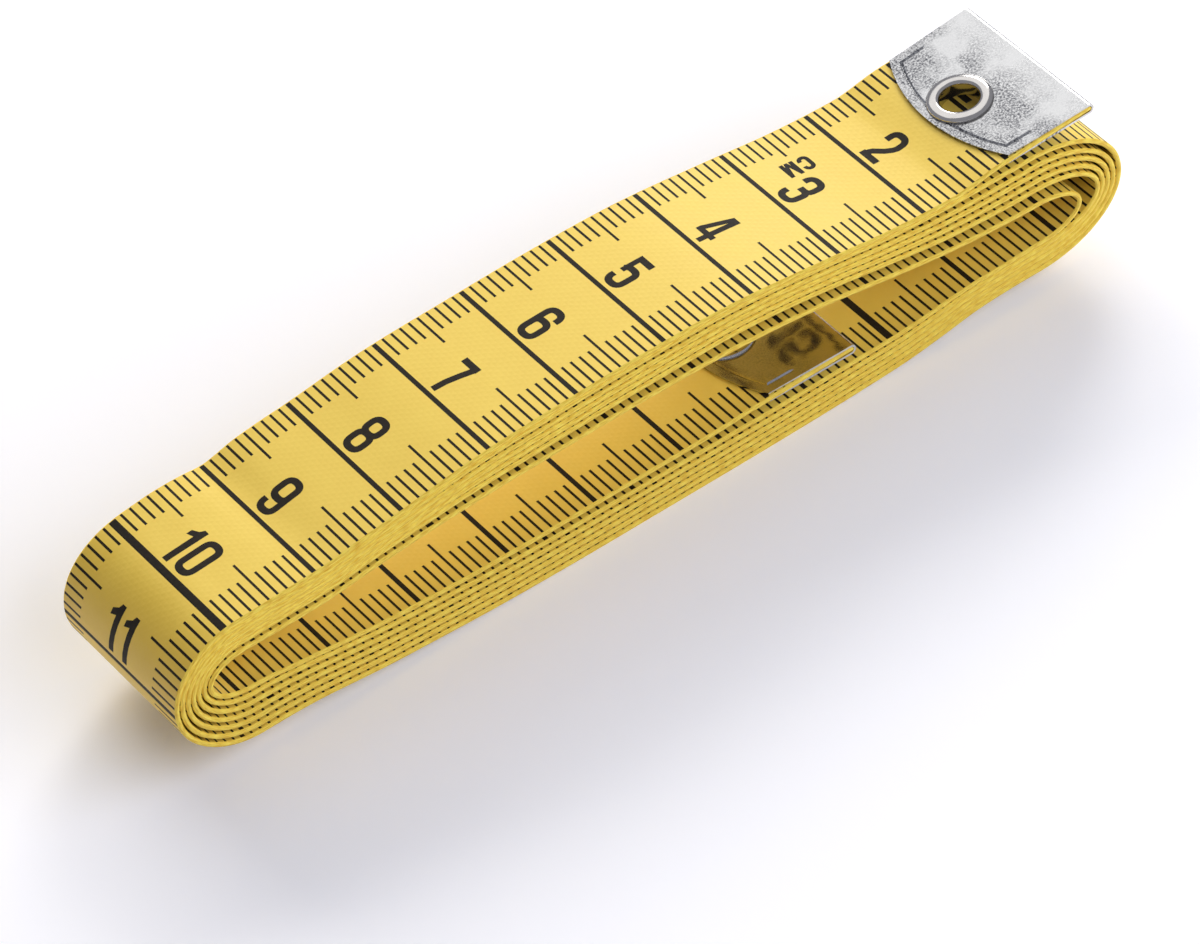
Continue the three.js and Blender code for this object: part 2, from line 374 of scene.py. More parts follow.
@dataclass(frozen=True)
class VinylCloth:
    """Vinyl-coated glass-fibre cloth, calendered.

    Attributes:
        thread_spacing: Distance between the threads of the cloth.
        thread_turn: How far the threads lie off the tape's length, in degrees.
        thread_waver: How unevenly they lie.
        weave_height: How far they lift the coating.
        cloud_size: Size of the clouds in the coating.
    """

    # The eye sees a satin yellow that clouds a little, over a diagonal weave that just shows through.
    name: str = "vinyl_coated_cloth"
    colour: str = "#f6d65d"
    deep_colour: str = "#eeca4e"
    roughness: tuple[float, float] = (0.42, 0.54)
    ior: float = 1.50
    thread_spacing: float = 0.62
    thread_turn: float = 52.0
    thread_waver: float = 2.4
    weave_height: float = 0.009
    cloud_size: float = 3.5

    def build(self) -> bpy.types.Material:
        """Makes the material; its patterns read the tape's flat millimetres.

        Returns:
            The material.
        """
        material, tree, shader, flat = new_finish(self.name)
        threads = {}
        for k, turn in enumerate((self.thread_turn, -self.thread_turn)):
            turned = add_node(tree, "Mapping", "Vector", {"Vector": flat, "Rotation": (0, 0, math.radians(turn))})
            wave = {"Vector": turned, "Scale": WAVE_PERIOD / self.thread_spacing}
            wave |= {"Distortion": self.thread_waver, "Detail": 2.0}
            threads[k] = add_node(tree, "TexWave", "Fac", wave)
        weave = add_node(tree, "Math", "Value", threads, operation="MAXIMUM")
        cloudy = {"Vector": flat, "Scale": 1 / self.cloud_size, "Detail": 4.0, "Roughness": 0.6}
        clouds = add_node(tree, "TexNoise", "Fac", cloudy)
        mixed = {MIX_FACTOR: clouds, MIX_A: linear(self.deep_colour), MIX_B: linear(self.colour)}
        tone = add_node(tree, "Mix", MIX_RESULT, mixed, data_type="RGBA")
        gloss = add_node(tree, "MapRange", "Result", {"Value": clouds, **limits("To", self.roughness)})
        bump = add_node(tree, "Bump", "Normal", {"Height": weave, "Distance": self.weave_height * MM})
        feed(tree, shader, {"Base Color": tone, "Roughness": gloss, "Normal": bump, "IOR": self.ior})
        return material


@dataclass(frozen=True)
class PrintInk:
    """Screen ink, printed on the vinyl.

    Attributes:
        thin_colour: Its colour where the film is thin.
        mottle_size: Size of the thin spots.
        mottle_height: How much thinner they are.
    """

    # The eye sees a near black, and a warm grey where the film is thin over the yellow.
    name: str = "screen_ink"
    colour: str = "#141211"
    thin_colour: str = "#2f281d"
    roughness: tuple[float, float] = (0.46, 0.64)
    ior: float = 1.26
    mottle_size: float = 0.35
    mottle_height: float = 0.006

    def build(self) -> bpy.types.Material:
        """Makes the material; its mottle reads the tape's flat millimetres.

        Returns:
            The material.
        """
        material, tree, shader, flat = new_finish(self.name)
        spotty = {"Vector": flat, "Scale": 1 / self.mottle_size, "Detail": 3.0}
        mottle = add_node(tree, "TexNoise", "Fac", spotty)
        gloss = add_node(tree, "MapRange", "Result", {"Value": mottle, **limits("To", self.roughness)})
        mixed = {MIX_FACTOR: mottle, MIX_A: linear(self.thin_colour), MIX_B: linear(self.colour)}
        tone = add_node(tree, "Mix", MIX_RESULT, mixed, data_type="RGBA")
        bump = add_node(tree, "Bump", "Normal", {"Height": mottle, "Distance": self.mottle_height * MM})
        feed(tree, shader, {"Base Color": tone, "Roughness": gloss, "Normal": bump, "IOR": self.ior})
        return material


@dataclass(frozen=True)
class WovenEdge:
    """The selvedge of the glass-fibre cloth, woven and bare of ink.

    Attributes:
        fibre_size: Thickness of a fibre as drawn. The real ones are a few hundredths of a millimetre thick,
            so they are drawn several times as coarse.
        fibre_length: How far one shows before it dips into the weave.
        fibre_height: How far one stands out.
        streak_range: Between which values of the pattern the colour goes from shade to full.
    """

    # The eye sees a matt yellow, with the glints of fibres that run along it.
    name: str = "woven_selvedge"
    colour: str = "#f9dd58"
    shade: str = "#dfb030"
    roughness: float = 0.62
    ior: float = 1.5
    fibre_size: float = 0.16
    fibre_length: float = 1.1
    fibre_height: float = 0.02
    streak_range: tuple[float, float] = (0.32, 0.62)

    def build(self) -> bpy.types.Material:
        """Makes the material; its fibres run along the tape's flat millimetres.

        Returns:
            The material.
        """
        material, tree, shader, flat = new_finish(self.name)
        scale = (1 / self.fibre_length, 1 / self.fibre_size, 1)
        drawn = add_node(tree, "Mapping", "Vector", {"Vector": flat, "Scale": scale})
        fibres = add_node(tree, "TexNoise", "Fac", {"Vector": drawn, "Scale": 1.0, "Detail": 3.0})
        streak = add_node(tree, "MapRange", "Result", {"Value": fibres, **limits("From", self.streak_range)})
        mixed = {MIX_FACTOR: streak, MIX_A: linear(self.shade), MIX_B: linear(self.colour)}
        tone = add_node(tree, "Mix", MIX_RESULT, mixed, data_type="RGBA")
        bump = add_node(tree, "Bump", "Normal", {"Height": fibres, "Distance": self.fibre_height * MM})
        feed(tree, shader, {"Base Color": tone, "Roughness": self.roughness, "Normal": bump, "IOR": self.ior})
        return material


@dataclass(frozen=True)
class TinPlate:
    """Tin-plated sheet steel, stamped.

    Attributes:
        wear: How worn the best and the worst patches are.
        patch_size: Size of a worn patch.
        patch_range: Between which values of the pattern a patch goes from its best to its worst.
        bright_edge: Painted highlight by the fold: from how far off the fold the wear begins, and from where on it is
            full.
        bright_wear: The share of the wear at the fold, where the painted highlight is.
        grain_size: Size of the dark grain in the worn patches.
        speck_range: Between which values of the pattern a speck goes from bright to dark.
        scratch_size: Width of a scratch.
        scratch_stretch: How many times as long it is.
        scratch_turn: Which way it runs, in degrees.
        dull_full: How worn and scratched the sheet is where it is dullest.
        hollow_size: Size of the shallow hollows in the sheet.
    """

    # The eye sees a bright sheet with grey patches of a fine dark grain and scratches; a painted highlight keeps the
    # sheet near the fold bright.
    name: str = "tin_plated_steel"
    wear: tuple[float, float] = (0.10, 1.0)
    colour: str = "#d9d8d5"
    grain_colour: str = "#4a4b51"
    roughness: tuple[float, float] = (0.10, 0.26)
    patch_size: float = 4.4
    patch_range: tuple[float, float] = (0.39, 0.54)
    bright_edge: tuple[float, float] = (1.8, 5.0)
    bright_wear: float = 0.25
    grain_size: float = 0.22
    grain_height: float = 0.004
    speck_range: tuple[float, float] = (0.38, 0.62)
    scratch_size: float = 0.12
    scratch_stretch: float = 14.0
    scratch_turn: float = 33.0
    dull_full: float = 0.6
    hollow_size: float = 3.6
    hollow_height: float = 0.09

    def build(self) -> bpy.types.Material:
        """Makes the material; its patterns read the sheet's flat millimetres.

        Returns:
            The material.
        """
        material, tree, shader, flat = new_finish(self.name)
        patches = add_node(tree, "TexNoise", "Fac", {"Vector": flat, "Scale": 1 / self.patch_size, "Detail": 3.0})
        from_best = {"Value": patches, **limits("From", self.patch_range), **limits("To", self.wear)}
        patchy = add_node(tree, "MapRange", "Result", from_best)
        along = add_node(tree, "SeparateXYZ", "X", {"Vector": flat})
        # Painted highlight: the wear fades out towards the fold, so the sheet there has less dark grain and shows
        # brighter, as where it catches the light; the patches elsewhere are real wear.
        off_fold = {"Value": add_node(tree, "Math", "Value", {0: along}, operation="ABSOLUTE")}
        off_fold |= {**limits("From", self.bright_edge), "To Min": self.bright_wear}
        worn_with_fold_highlight = add_node(tree, "MapRange", "Result", off_fold)
        worn = add_node(tree, "Math", "Value", {0: patchy, 1: worn_with_fold_highlight}, operation="MULTIPLY")
        # The plating's own grain is finer than a pixel of the picture, so it is drawn coarser.
        grainy = {"Vector": flat, "Scale": 1 / self.grain_size, "Detail": 3.0, "Roughness": 0.7}
        grain = add_node(tree, "TexNoise", "Fac", grainy)
        specks = add_node(tree, "MapRange", "Result", {"Value": grain, **limits("From", self.speck_range)})
        dark = add_node(tree, "Math", "Value", {0: worn, 1: specks}, operation="MULTIPLY")
        mixed = {MIX_FACTOR: dark, MIX_A: linear(self.colour), MIX_B: linear(self.grain_colour)}
        tone = add_node(tree, "Mix", MIX_RESULT, mixed, data_type="RGBA")
        drawn_out = {"Vector": flat, "Rotation": (0, 0, math.radians(self.scratch_turn))}
        drawn_out |= {"Scale": (1, 1 / self.scratch_stretch, 1)}
        scratchy = {"Vector": add_node(tree, "Mapping", "Vector", drawn_out)}
        scratchy |= {"Scale": 1 / self.scratch_size, "Detail": 2.0}
        scratches = add_node(tree, "TexNoise", "Fac", scratchy)
        dull = add_node(tree, "Math", "Value", {0: worn, 1: scratches}, operation="MULTIPLY")
        dulled = {"Value": dull, "From Max": self.dull_full, **limits("To", self.roughness)}
        gloss = add_node(tree, "MapRange", "Result", dulled)
        hollows = add_node(tree, "TexNoise", "Fac", {"Vector": flat, "Scale": 1 / self.hollow_size, "Detail": 2.0})
        uneven = add_node(tree, "Bump", "Normal", {"Height": hollows, "Distance": self.hollow_height * MM})
        fine = {"Height": grain, "Distance": self.grain_height * MM, "Normal": uneven}
        bump = add_node(tree, "Bump", "Normal", fine)
        feed(tree, shader, {"Base Color": tone, "Roughness": gloss, "Normal": bump, "Metallic": 1.0})
        return material


@dataclass(frozen=True)
class NickelPlate:
    """Nickel-plated eyelet brass, barrel polished.

    Attributes:
        smear_colour: Its colour where it is smeared.
        smear_size: Size of a smear.
    """

    # The eye sees a warm mirror with soft smears from handling.
    name: str = "polished_nickel"
    colour: str = "#dcd8d2"
    smear_colour: str = "#c8c3bc"
    roughness: tuple[float, float] = (0.08, 0.20)
    smear_size: float = 0.9

    def build(self) -> bpy.types.Material:
        """Makes the material; its smears read the lathed skin's flat millimetres.

        Returns:
            The material.
        """
        material, tree, shader, flat = new_finish(self.name)
        smeary = {"Vector": flat, "Scale": 1 / self.smear_size, "Detail": 5.0, "Roughness": 0.65}
        smears = add_node(tree, "TexNoise", "Fac", smeary)
        mixed = {MIX_FACTOR: smears, MIX_A: linear(self.colour), MIX_B: linear(self.smear_colour)}
        tone = add_node(tree, "Mix", MIX_RESULT, mixed, data_type="RGBA")
        gloss = add_node(tree, "MapRange", "Result", {"Value": smears, **limits("To", self.roughness)})
        feed(tree, shader, {"Base Color": tone, "Roughness": gloss, "Metallic": 1.0})
        return material


@dataclass(frozen=True)
class WhiteCard:
    """White card, uncoated and matt, for the floor.

    Attributes:
        patch_size: Size of the patches where it is a little less matt.
        glow: How much brighter it looks than the light makes it.
    """

    # The eye sees an even white without any sheen, a little brighter than the light alone would make it.
    name: str = "white_card"
    colour: str = "#fcfcfd"
    roughness: tuple[float, float] = (0.9, 1.0)
    patch_size: float = 60.0
    glow: float = 0.11

    def build(self) -> bpy.types.Material:
        """Makes the material; its patches read the floor's flat millimetres.

        Returns:
            The material.
        """
        material, tree, shader, flat = new_finish(self.name)
        patches = add_node(tree, "TexNoise", "Fac", {"Vector": flat, "Scale": 1 / self.patch_size})
        gloss = add_node(tree, "MapRange", "Result", {"Value": patches, **limits("To", self.roughness)})
        glow = add_node(tree, "Math", "Value", {0: seen(tree), 1: self.glow}, operation="MULTIPLY")
        colour = linear(self.colour)
        feed(tree, shader, {"Base Color": colour, "Roughness": gloss, "Specular IOR Level": 0.0})
        feed(tree, shader, {"Emission Color": colour, "Emission Strength": glow})
        return material


# The tips


class TipSide(Enum):
    """Which end of the tape a tip is on; the value is the first word of its nodes and its body."""

    OUTER = "outer"
    INNER = "inner"

    @property
    def body(self) -> str:
        """The body that this end of the tape moves with."""
        return f"{self.value}_end"


@dataclass
class TipPlace:
    """Where a tip's own frame sits: X = 0 at the end of its fold, X running out along the tape, Z = 0 mid tape.

    Attributes:
        x: Place of the fold's end along the loop.
        z: Height of the middle of the tape there.
        slope: How steeply the tip rises towards its end, in radians.
    """

    x: float
    z: float
    slope: float

    def to_loop(self, local: np.ndarray) -> np.ndarray:
        """Turns points of the tip's own frame into points of the loop's frame.

        Args:
            local: Points of the tip's own frame.

        Returns:
            The same points in the loop's frame.
        """
        c, s = math.cos(self.slope), math.sin(self.slope)
        x, y, z = local.T
        return np.c_[self.x + x * c - z * s, y, self.z + x * s + z * c]

    def behind(self, distance: np.ndarray | float) -> np.ndarray:
        """Gives (x, z) points on the middle of the tape, a distance behind the fold's end."""
        distance = np.atleast_1d(distance)
        return np.c_[self.x - distance * math.cos(self.slope), self.z - distance * math.sin(self.slope)]


@dataclass
class Tip:
    """A folded steel tip and its eyelet, on one end of the tape.

    Attributes:
        side: The end that it is on.
        slope: How steeply it rises towards its end, in degrees.
        tape_thickness: Thickness of the tape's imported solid.
        sheet: Thickness of its sheet.
        clearance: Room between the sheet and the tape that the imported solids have.
        length: Its length in the middle, where its inner edge bows out.
        side_length: Its length along its sides.
        corner_inset: How far its sides run in from the fold to their far corners.
        straight: How much of the tape it keeps straight.
        groove_inset: How far inside its edges the stamped groove runs.
        groove_return_end: How near to the fold the groove runs along the sides.
        groove_run_out: The stretch at each end over which the groove gets shallow.
        eyelet_setback: Distance from the fold to the eyelet's middle.
        eyelet_bore: Radius of the eyelet's bore.
        eyelet_roll: How far the upper flange falls inwards and outwards from its crest.
        eyelet_rise: Height of that crest over the sheet.
        eyelet_squareness: How full the flange's section is; 2 is an ellipse.
        eyelet_barrel: Outer radius of the barrel.
        eyelet_hole: Radius of the hole for it in the sheet and the tape.
        eyelet_seat_gap: Room between the sheet and the flanges.
        clinch_reach: How far the lower flange reaches from the bore to the middle of its rounded edge.
        clinch_edge: Radius of that edge.
        clinch_roll: How far the bore's lower end is rolled outwards and downwards.
        clinch_drop: How far below the sheet that roll starts.
    """

    side: TipSide
    slope: float
    tape_width: float = 19.0
    tape_thickness: float = 0.45
    sheet: float = 0.22
    clearance: float = 0.10
    length: float = 12.4
    side_length: float = 10.0
    corner_inset: float = 0.3
    straight: float = 11.4
    fold_steps: int = 14
    bow_steps: int = 40
    crease: float = 18.0
    groove_inset: float = 1.05
    groove_width: float = 0.36
    groove_depth: float = 0.12
    groove_return_end: float = 6.3
    groove_run_out: float = 0.4
    eyelet_setback: float = 8.6
    eyelet_bore: float = 1.94
    eyelet_roll: tuple[float, float] = (0.50, 0.82)
    eyelet_rise: float = 0.50
    eyelet_squareness: float = 2.5
    eyelet_barrel: float = 2.28
    eyelet_hole: float = 2.4
    eyelet_seat_gap: float = 0.02
    eyelet_steps: int = 96
    flange_steps: int = 11
    clinch_edge_steps: int = 6
    clinch_roll_steps: int = 8
    eyelet_crease: float = 35.0
    hole_steps: int = 48
    clinch_reach: float = 0.82
    clinch_edge: float = 0.11
    clinch_roll: tuple[float, float] = (0.34, 0.20)
    clinch_drop: float = 0.06

    @property
    def half_inside(self) -> float:
        """Half the height of the space for the tape."""
        return self.tape_thickness / 2 + self.clearance

    @property
    def half_outside(self) -> float:
        """Half the height of the whole tip."""
        return self.half_inside + self.sheet

    @property
    def fold_radius(self) -> float:
        """Radius of the fold, to the middle of the sheet."""
        return (self.half_inside + self.half_outside) / 2

    @property
    def fold_reach(self) -> float:
        """How far the fold reaches to each side of its middle on the flat sheet."""
        return self.fold_radius * math.pi / 2

    @property
    def place(self) -> TipPlace:
        """Reads the tip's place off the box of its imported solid.

        Returns:
            The place.
        """
        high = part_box(f"{self.side.value}_tip_clip")[1] / MM
        slope = math.radians(self.slope)
        past = self.half_outside
        return TipPlace(high.x - past * (1 - math.cos(slope)), high.z - past * (1 - math.sin(slope)), slope)

    def half_width(self, x: np.ndarray | float) -> np.ndarray | float:
        """Half the tip's width at a place along it."""
        return self.tape_width / 2 + self.corner_inset * x / self.side_length

    def bow(self, inset: float) -> Outline:
        """Draws the bowed inner edge, or a line inside it.

        Args:
            inset: How far inside the edge the line is.

        Returns:
            Its points, from the +Y corner to the -Y one.
        """
        corner = float(self.half_width(-self.side_length))
        rise = self.length - self.side_length
        radius = (corner**2 + rise**2) / (2 * rise)
        turn = math.degrees(math.asin((corner - inset) / (radius - inset)))
        return arc((radius - self.length, 0), (radius - inset,) * 2, 180 - turn, 180 + turn, self.bow_steps)

    def groove(self) -> Outline:
        """Draws the middle of the stamped groove on one plate; it runs out at both ends, beside the tip's sides.

        Returns:
            Its points.
        """
        x = -self.groove_return_end - np.array([0.0, self.groove_run_out])
        side = self.half_width(x) - self.groove_inset
        return np.vstack([np.c_[x, side], self.bow(self.groove_inset), np.c_[x, -side][::-1]])

    def unfold(self, points: Outline, plate: int) -> Outline:
        """Lays points of the upper (1) or lower (-1) plate out on the flat sheet, with the fold's middle at 0."""
        return np.c_[plate * (self.fold_reach - self.half_outside - points[:, 0]), points[:, 1]]

    def cut_sheet(self) -> tuple[Filled, np.ndarray]:
        """Cuts the flat sheet, with its grooves and its fold as lines on it.

        Returns:
            The sheet with its two holes as shapes, and which of its points are at the bottom of a groove.
        """
        half = float(self.half_width(0))
        fold_ends = np.array([(-self.half_outside, half), (-self.half_outside, -half)])
        upper = self.unfold(np.vstack([fold_ends[:1], self.bow(0), fold_ends[1:]]), 1)
        border = counter_clockwise(np.vstack([upper, upper[::-1] * (-1, 1)]))
        ring = arc((-self.eyelet_setback, 0), (self.eyelet_hole,) * 2, 0, 360, self.hole_steps)[:-1]
        holes = [counter_clockwise(self.unfold(ring, plate)) for plate in (1, -1)]
        folds = [
            np.array([(a, -half), (a, half)])
            for a in np.linspace(-self.fold_reach, self.fold_reach, self.fold_steps + 1)
        ]
        grooves = [self.unfold(self.groove(), plate) for plate in (1, -1)]
        shoulders = [thicken(line, self.groove_width) for line in grooves]
        sheet = fill(border, holes, [*grooves, *(np.vstack([s, s[:1]]) for s in shoulders), *folds])
        on_groove, count = sheet.given - len(border) - sum(map(len, holes)), len(grooves[0])
        deep = (on_groove >= 0) & (on_groove < count * len(grooves))
        deep &= (on_groove % count > 0) & (on_groove % count < count - 1)
        return sheet, deep

    def fold_sheet(self, flat: Outline) -> tuple[np.ndarray, np.ndarray]:
        """Folds the middle of the flat sheet over the end of the tape.

        Args:
            flat: Points of the flat sheet.

        Returns:
            The folded points in the tip's own frame, and the outward normals there.
        """
        a, y = flat.T
        turn = np.clip(a / self.fold_radius, -math.pi / 2, math.pi / 2)
        past = np.maximum(np.abs(a) - self.fold_reach, 0)
        normal = np.c_[np.cos(turn), np.zeros_like(a), np.sin(turn)]
        normal[past > 0] *= (0, 1, 1)
        x = self.fold_radius * np.cos(turn) - self.half_outside - past
        return np.c_[x, y, self.fold_radius * np.sin(turn)], normal

    def build_clip(self, material: bpy.types.Material) -> bpy.types.Object:
        """Makes the folded sheet: both of its skins and the rim between them.

        Args:
            material: The sheet's finish.

        Returns:
            The clip.
        """
        sheet, deep = self.cut_sheet()
        core, normal = self.fold_sheet(sheet.points)
        core -= normal * (self.groove_depth * deep)[:, None]
        local = np.vstack([core + normal * self.sheet / 2, core - normal * self.sheet / 2])
        solid = sheet.triangles[sheet.shape < 0]
        count = len(core)
        sides = Counter((i, j) for tri in solid.tolist() for i, j in zip(tri, tri[1:] + tri[:1]))
        rim = [(i, j) for i, j in sides if (j, i) not in sides]
        faces = [*solid.tolist(), *(solid[:, ::-1] + count).tolist()]
        faces += [[j, i, i + count, j + count] for i, j in rim]
        piece = make_object(
            f"{self.side.value}_tip_sheet",
            self.place.to_loop(local),
            faces,
            np.vstack([sheet.points, sheet.points]),
            [material],
        )
        close_up(piece, self.crease)
        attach(piece, self.side.body)
        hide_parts(f"{self.side.value}_tip_clip")
        return piece

    def eyelet_profile(self) -> Outline:
        """Draws the eyelet's cross-section, up the bore and down the outside.

        Returns:
            Its (radius, height) points.
        """
        seat = self.half_outside + self.eyelet_seat_gap
        bore, barrel = self.eyelet_bore, self.eyelet_barrel
        turn = np.linspace(0, math.pi / 2, self.flange_steps + 1)
        out, up = np.c_[np.sin(turn), np.cos(turn)].T ** (2 / self.eyelet_squareness)
        inner, outer = self.eyelet_roll
        crest, high = bore + inner, seat + self.eyelet_rise * up
        flange = np.vstack([np.c_[crest - inner * out, high][:0:-1], np.c_[crest + outer * out, high]])
        edge_at = (bore + self.clinch_reach, -seat - self.clinch_edge)
        edge = arc(edge_at, (self.clinch_edge,) * 2, 90, -90, self.clinch_edge_steps)
        roll_at = (bore + self.clinch_roll[0], -seat - self.clinch_drop)
        roll = arc(roll_at, self.clinch_roll, 270, 180, self.clinch_roll_steps)
        return np.vstack([flange, [(barrel, seat), (barrel, -seat)], edge, roll])

    def build_eyelet(self, material: bpy.types.Material) -> bpy.types.Object:
        """Turns the eyelet: a rolled flange above, a barrel and a clinched flange below.

        Args:
            material: The eyelet's finish.

        Returns:
            The eyelet.
        """
        profile = self.eyelet_profile()
        radius, height = profile.T
        along = np.r_[0, np.cumsum(np.hypot(*np.diff(profile, axis=0).T))]
        turn = np.arange(self.eyelet_steps) * math.tau / self.eyelet_steps
        ring = np.stack(
            [
                np.outer(np.cos(turn), radius) - self.eyelet_setback,
                np.outer(np.sin(turn), radius),
                np.outer(np.ones_like(turn), height),
            ],
            axis=-1,
        )
        flat = np.stack([np.outer(np.abs(turn - math.pi), radius), np.outer(np.ones_like(turn), along)], axis=-1)
        number = np.arange(ring.shape[0] * ring.shape[1]).reshape(ring.shape[:2])
        onward, above = np.roll(number, -1, axis=0), np.roll(number, -1, axis=1)
        quads = np.stack([number, onward, np.roll(onward, -1, axis=1), above], axis=-1)
        piece = make_object(
            f"{self.side.value}_tip_ring",
            self.place.to_loop(ring.reshape(-1, 3)),
            quads.reshape(-1, 4),
            flat.reshape(-1, 2),
            [material],
        )
        close_up(piece, self.eyelet_crease)
        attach(piece, self.side.body)
        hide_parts(f"{self.side.value}_tip_eyelet")
        return piece


def close_up(piece: bpy.types.Object, crease: float) -> None:
    """Turns all faces of a closed mesh outwards and keeps its creases crisp.

    Args:
        piece: The object.
        crease: The angle between two faces, in degrees, from which their edge is a crease.
    """
    work = bmesh.new()
    work.from_mesh(piece.data)
    bmesh.ops.recalc_face_normals(work, faces=work.faces)
    work.to_mesh(piece.data)
    work.free()
    piece.data.set_sharp_from_angle(angle=math.radians(crease))


# The tape


@dataclass
class TapeRoute:
    """The line that the middle of the tape follows through the loop, in the XZ plane.

    The tape starts at the outer tip and runs along the top to the left, round the left fold, along the
    bottom to the right and round the right fold, seven times, to the inner tip. The loose outer end
    lies on the second turn, and the last turn hangs free of the sixth at the upper right.

    Attributes:
        outer_tip: Place of the outer tip.
        inner_tip: Place of the inner tip.
        tip_straight: How much of the tape each tip keeps straight.
        thickness: The tape's thickness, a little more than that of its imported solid, whose turns keep a gap.
        printed_length: How far the scale runs.
        zero_inset: How far inside the end of a tip it starts.
        left_x: Where the runs end in the left fold.
        right_x: Where the runs end in the right fold.
        left_reach: How far the outermost left fold reaches past left_x.
        left_reach_step: How much less each next left fold does.
        right_reach: How far the outermost right fold reaches past right_x.
        right_reach_step: How much less each next right fold does.
        loose_fold_inset: How much less the last right fold does.
        outer_ease: Length of the bend between the first upper run and the outer tip.
        inner_ease: Length of the bend between the last lower run and the inner tip.
        wander: How far the turns stray sideways.
        wander_waves: Lengths of the waves in which they do, over two pi.
        wander_from: How far from the tips the straying starts.
        wander_full: From how far on it is full.
        top: Height of the loop's top along it, as all of the following.
        first_step: How far the second turn lies below the first.
        loosening: How far the third turn's run sags off the second.
        top_step: How far each next upper run lies below the one above it.
        loose_top: Height of the last upper run's top.
        belly: Height of the loop's underside.
        belly_step: How far each next lower run lies above the one below it.
        inner_top: Height of the last lower run's top.
        far_wave: How far the far edge of the tape waves up.
        line: The line's (x, z) points.
        along: How far along the line each of them is.
        heading: Which way the line runs there.
    """

    outer_tip: TipPlace
    inner_tip: TipPlace
    tip_straight: float
    turns: int = 7
    thickness: float = 0.52
    printed_length: float = 1500.0
    zero_inset: float = 0.28
    left_x: float = -46.0
    right_x: float = 44.0
    left_reach: float = 8.35
    left_reach_step: float = 0.64
    right_reach: float = 10.35
    right_reach_step: float = 0.66
    loose_fold_inset: float = 2.3
    outer_ease: float = 5.6
    inner_ease: float = 7.0
    wander: float = 0.13
    wander_waves: tuple[float, ...] = (17.3, 41.0)
    wander_from: float = 16.0
    wander_full: float = 60.0
    run_step: float = 0.1
    fold_steps: int = 90
    straight_steps: int = 19
    top: Knots = (
        (-46, 16.90), (-41, 17.05), (-36, 17.25), (-32, 17.80), (-28, 18.25), (-20, 19.25), (-10, 19.70),
        (0, 19.85), (10, 19.55), (20, 18.35), (28, 17.25), (33, 16.87), (38, 16.74), (44, 16.70),
    )
    first_step: float = 0.54
    loosening: Knots = (
        (-46, 0.0), (-28, 0.02), (-10, 0.12), (0, 0.17), (20, 0.12), (30, 0.20), (36, 0.30), (44, 0.35),
    )
    top_step: Knots = (
        (-46, 0.535), (-36, 0.565), (-28, 0.60), (-20, 0.69), (0, 0.71), (20, 0.67), (28, 0.73), (34, 0.83), (44, 0.92),
    )
    loose_top: Knots = (
        (-46, 13.37), (-41, 13.35), (-36, 13.55), (-32, 13.98), (-28, 14.32), (-20, 14.72), (-10, 14.85), (0, 14.83),
        (10, 14.43), (20, 13.35), (28, 11.95), (34, 11.05), (40, 10.53), (44, 10.33),
    )
    belly: Knots = (
        (-46, 2.20), (-40, 2.05), (-36, 1.60), (-32, 1.15), (-28, 0.85), (-20, 0.35), (-12, 0.10), (0, 0.0),
        (14, 0.02), (22, 0.20), (28, 0.50), (32, 1.00), (36, 1.60), (40, 1.80), (44, 1.80),
    )
    belly_step: Knots = (
        (-46, 0.95), (-40, 0.88), (-32, 0.84), (-20, 0.82), (0, 0.82), (12, 0.80), (24, 0.76), (32, 0.70), (40, 0.62),
        (44, 0.64),
    )
    inner_top: Knots = ((-46, 8.40), (-40, 7.72), (-32, 6.72), (-24, 6.17), (-16, 5.94), (-8, 5.89), (2, 5.89))
    far_wave: Knots = (
        (-50, 0.0), (-47.5, 0.05), (-43, 0.38), (-40, 0.25), (-37.4, 0.0), (-36.2, 0.15), (-34.5, 0.40), (-32, 0.40),
        (-28, 0.30), (-22, 0.20), (-14, 0.08), (-8, 0.0),
    )
    line: np.ndarray = field(init=False)
    along: np.ndarray = field(init=False)
    heading: np.ndarray = field(init=False)

    def __post_init__(self) -> None:
        """Draws the whole line and measures it."""
        self._top = smooth_curve(self.top)
        self._loosening = smooth_curve(self.loosening)
        self._top_step = smooth_curve(self.top_step)
        self._loose_top = smooth_curve(self.loose_top)
        self._belly = smooth_curve(self.belly)
        self._belly_step = smooth_curve(self.belly_step)
        self._inner_top = smooth_curve(self.inner_top)
        self._far_wave = smooth_curve(self.far_wave)
        parts = [self._outer_end()]
        for turn in range(self.turns):
            last = turn == self.turns - 1
            if turn > 0:
                parts.append(self._run(self.upper, turn, self.right_x, self.left_x))
            parts.append(self._fold(turn, turn, -1))
            if last:
                parts.append(self._inner_end())
            else:
                parts.append(self._run(self.lower, turn, self.left_x, self.right_x))
                parts.append(self._fold(turn, turn + 1, 1))
        line = np.vstack(parts)
        step = np.hypot(*np.diff(line, axis=0).T)
        moves = step > SAME_PLACE
        self.line = line[np.r_[True, moves]]
        self.along = np.r_[0, np.cumsum(step[moves])]
        heading = np.gradient(self.line, self.along, axis=0)
        self.heading = heading / np.linalg.norm(heading, axis=1)[:, None]

    @property
    def unit(self) -> float:
        """How long a printed millimetre is along this line."""
        return (float(self.along[-1]) - 2 * self.zero_inset) / self.printed_length

    def upper(self, x: np.ndarray | float, turn: int) -> np.ndarray:
        """Works out how high an upper run is.

        Args:
            x: Places along the loop.
            turn: The number of the turn, from 0 for the outermost.

        Returns:
            The heights of the middle of the tape there.
        """
        if turn == self.turns - 1:
            return self._loose_top(x) - self.thickness / 2
        height = self._top(x) - min(turn, 1) * self.first_step - self.thickness / 2
        return height - self._loosening(x) - (turn - 1) * self._top_step(x) if turn > 1 else height

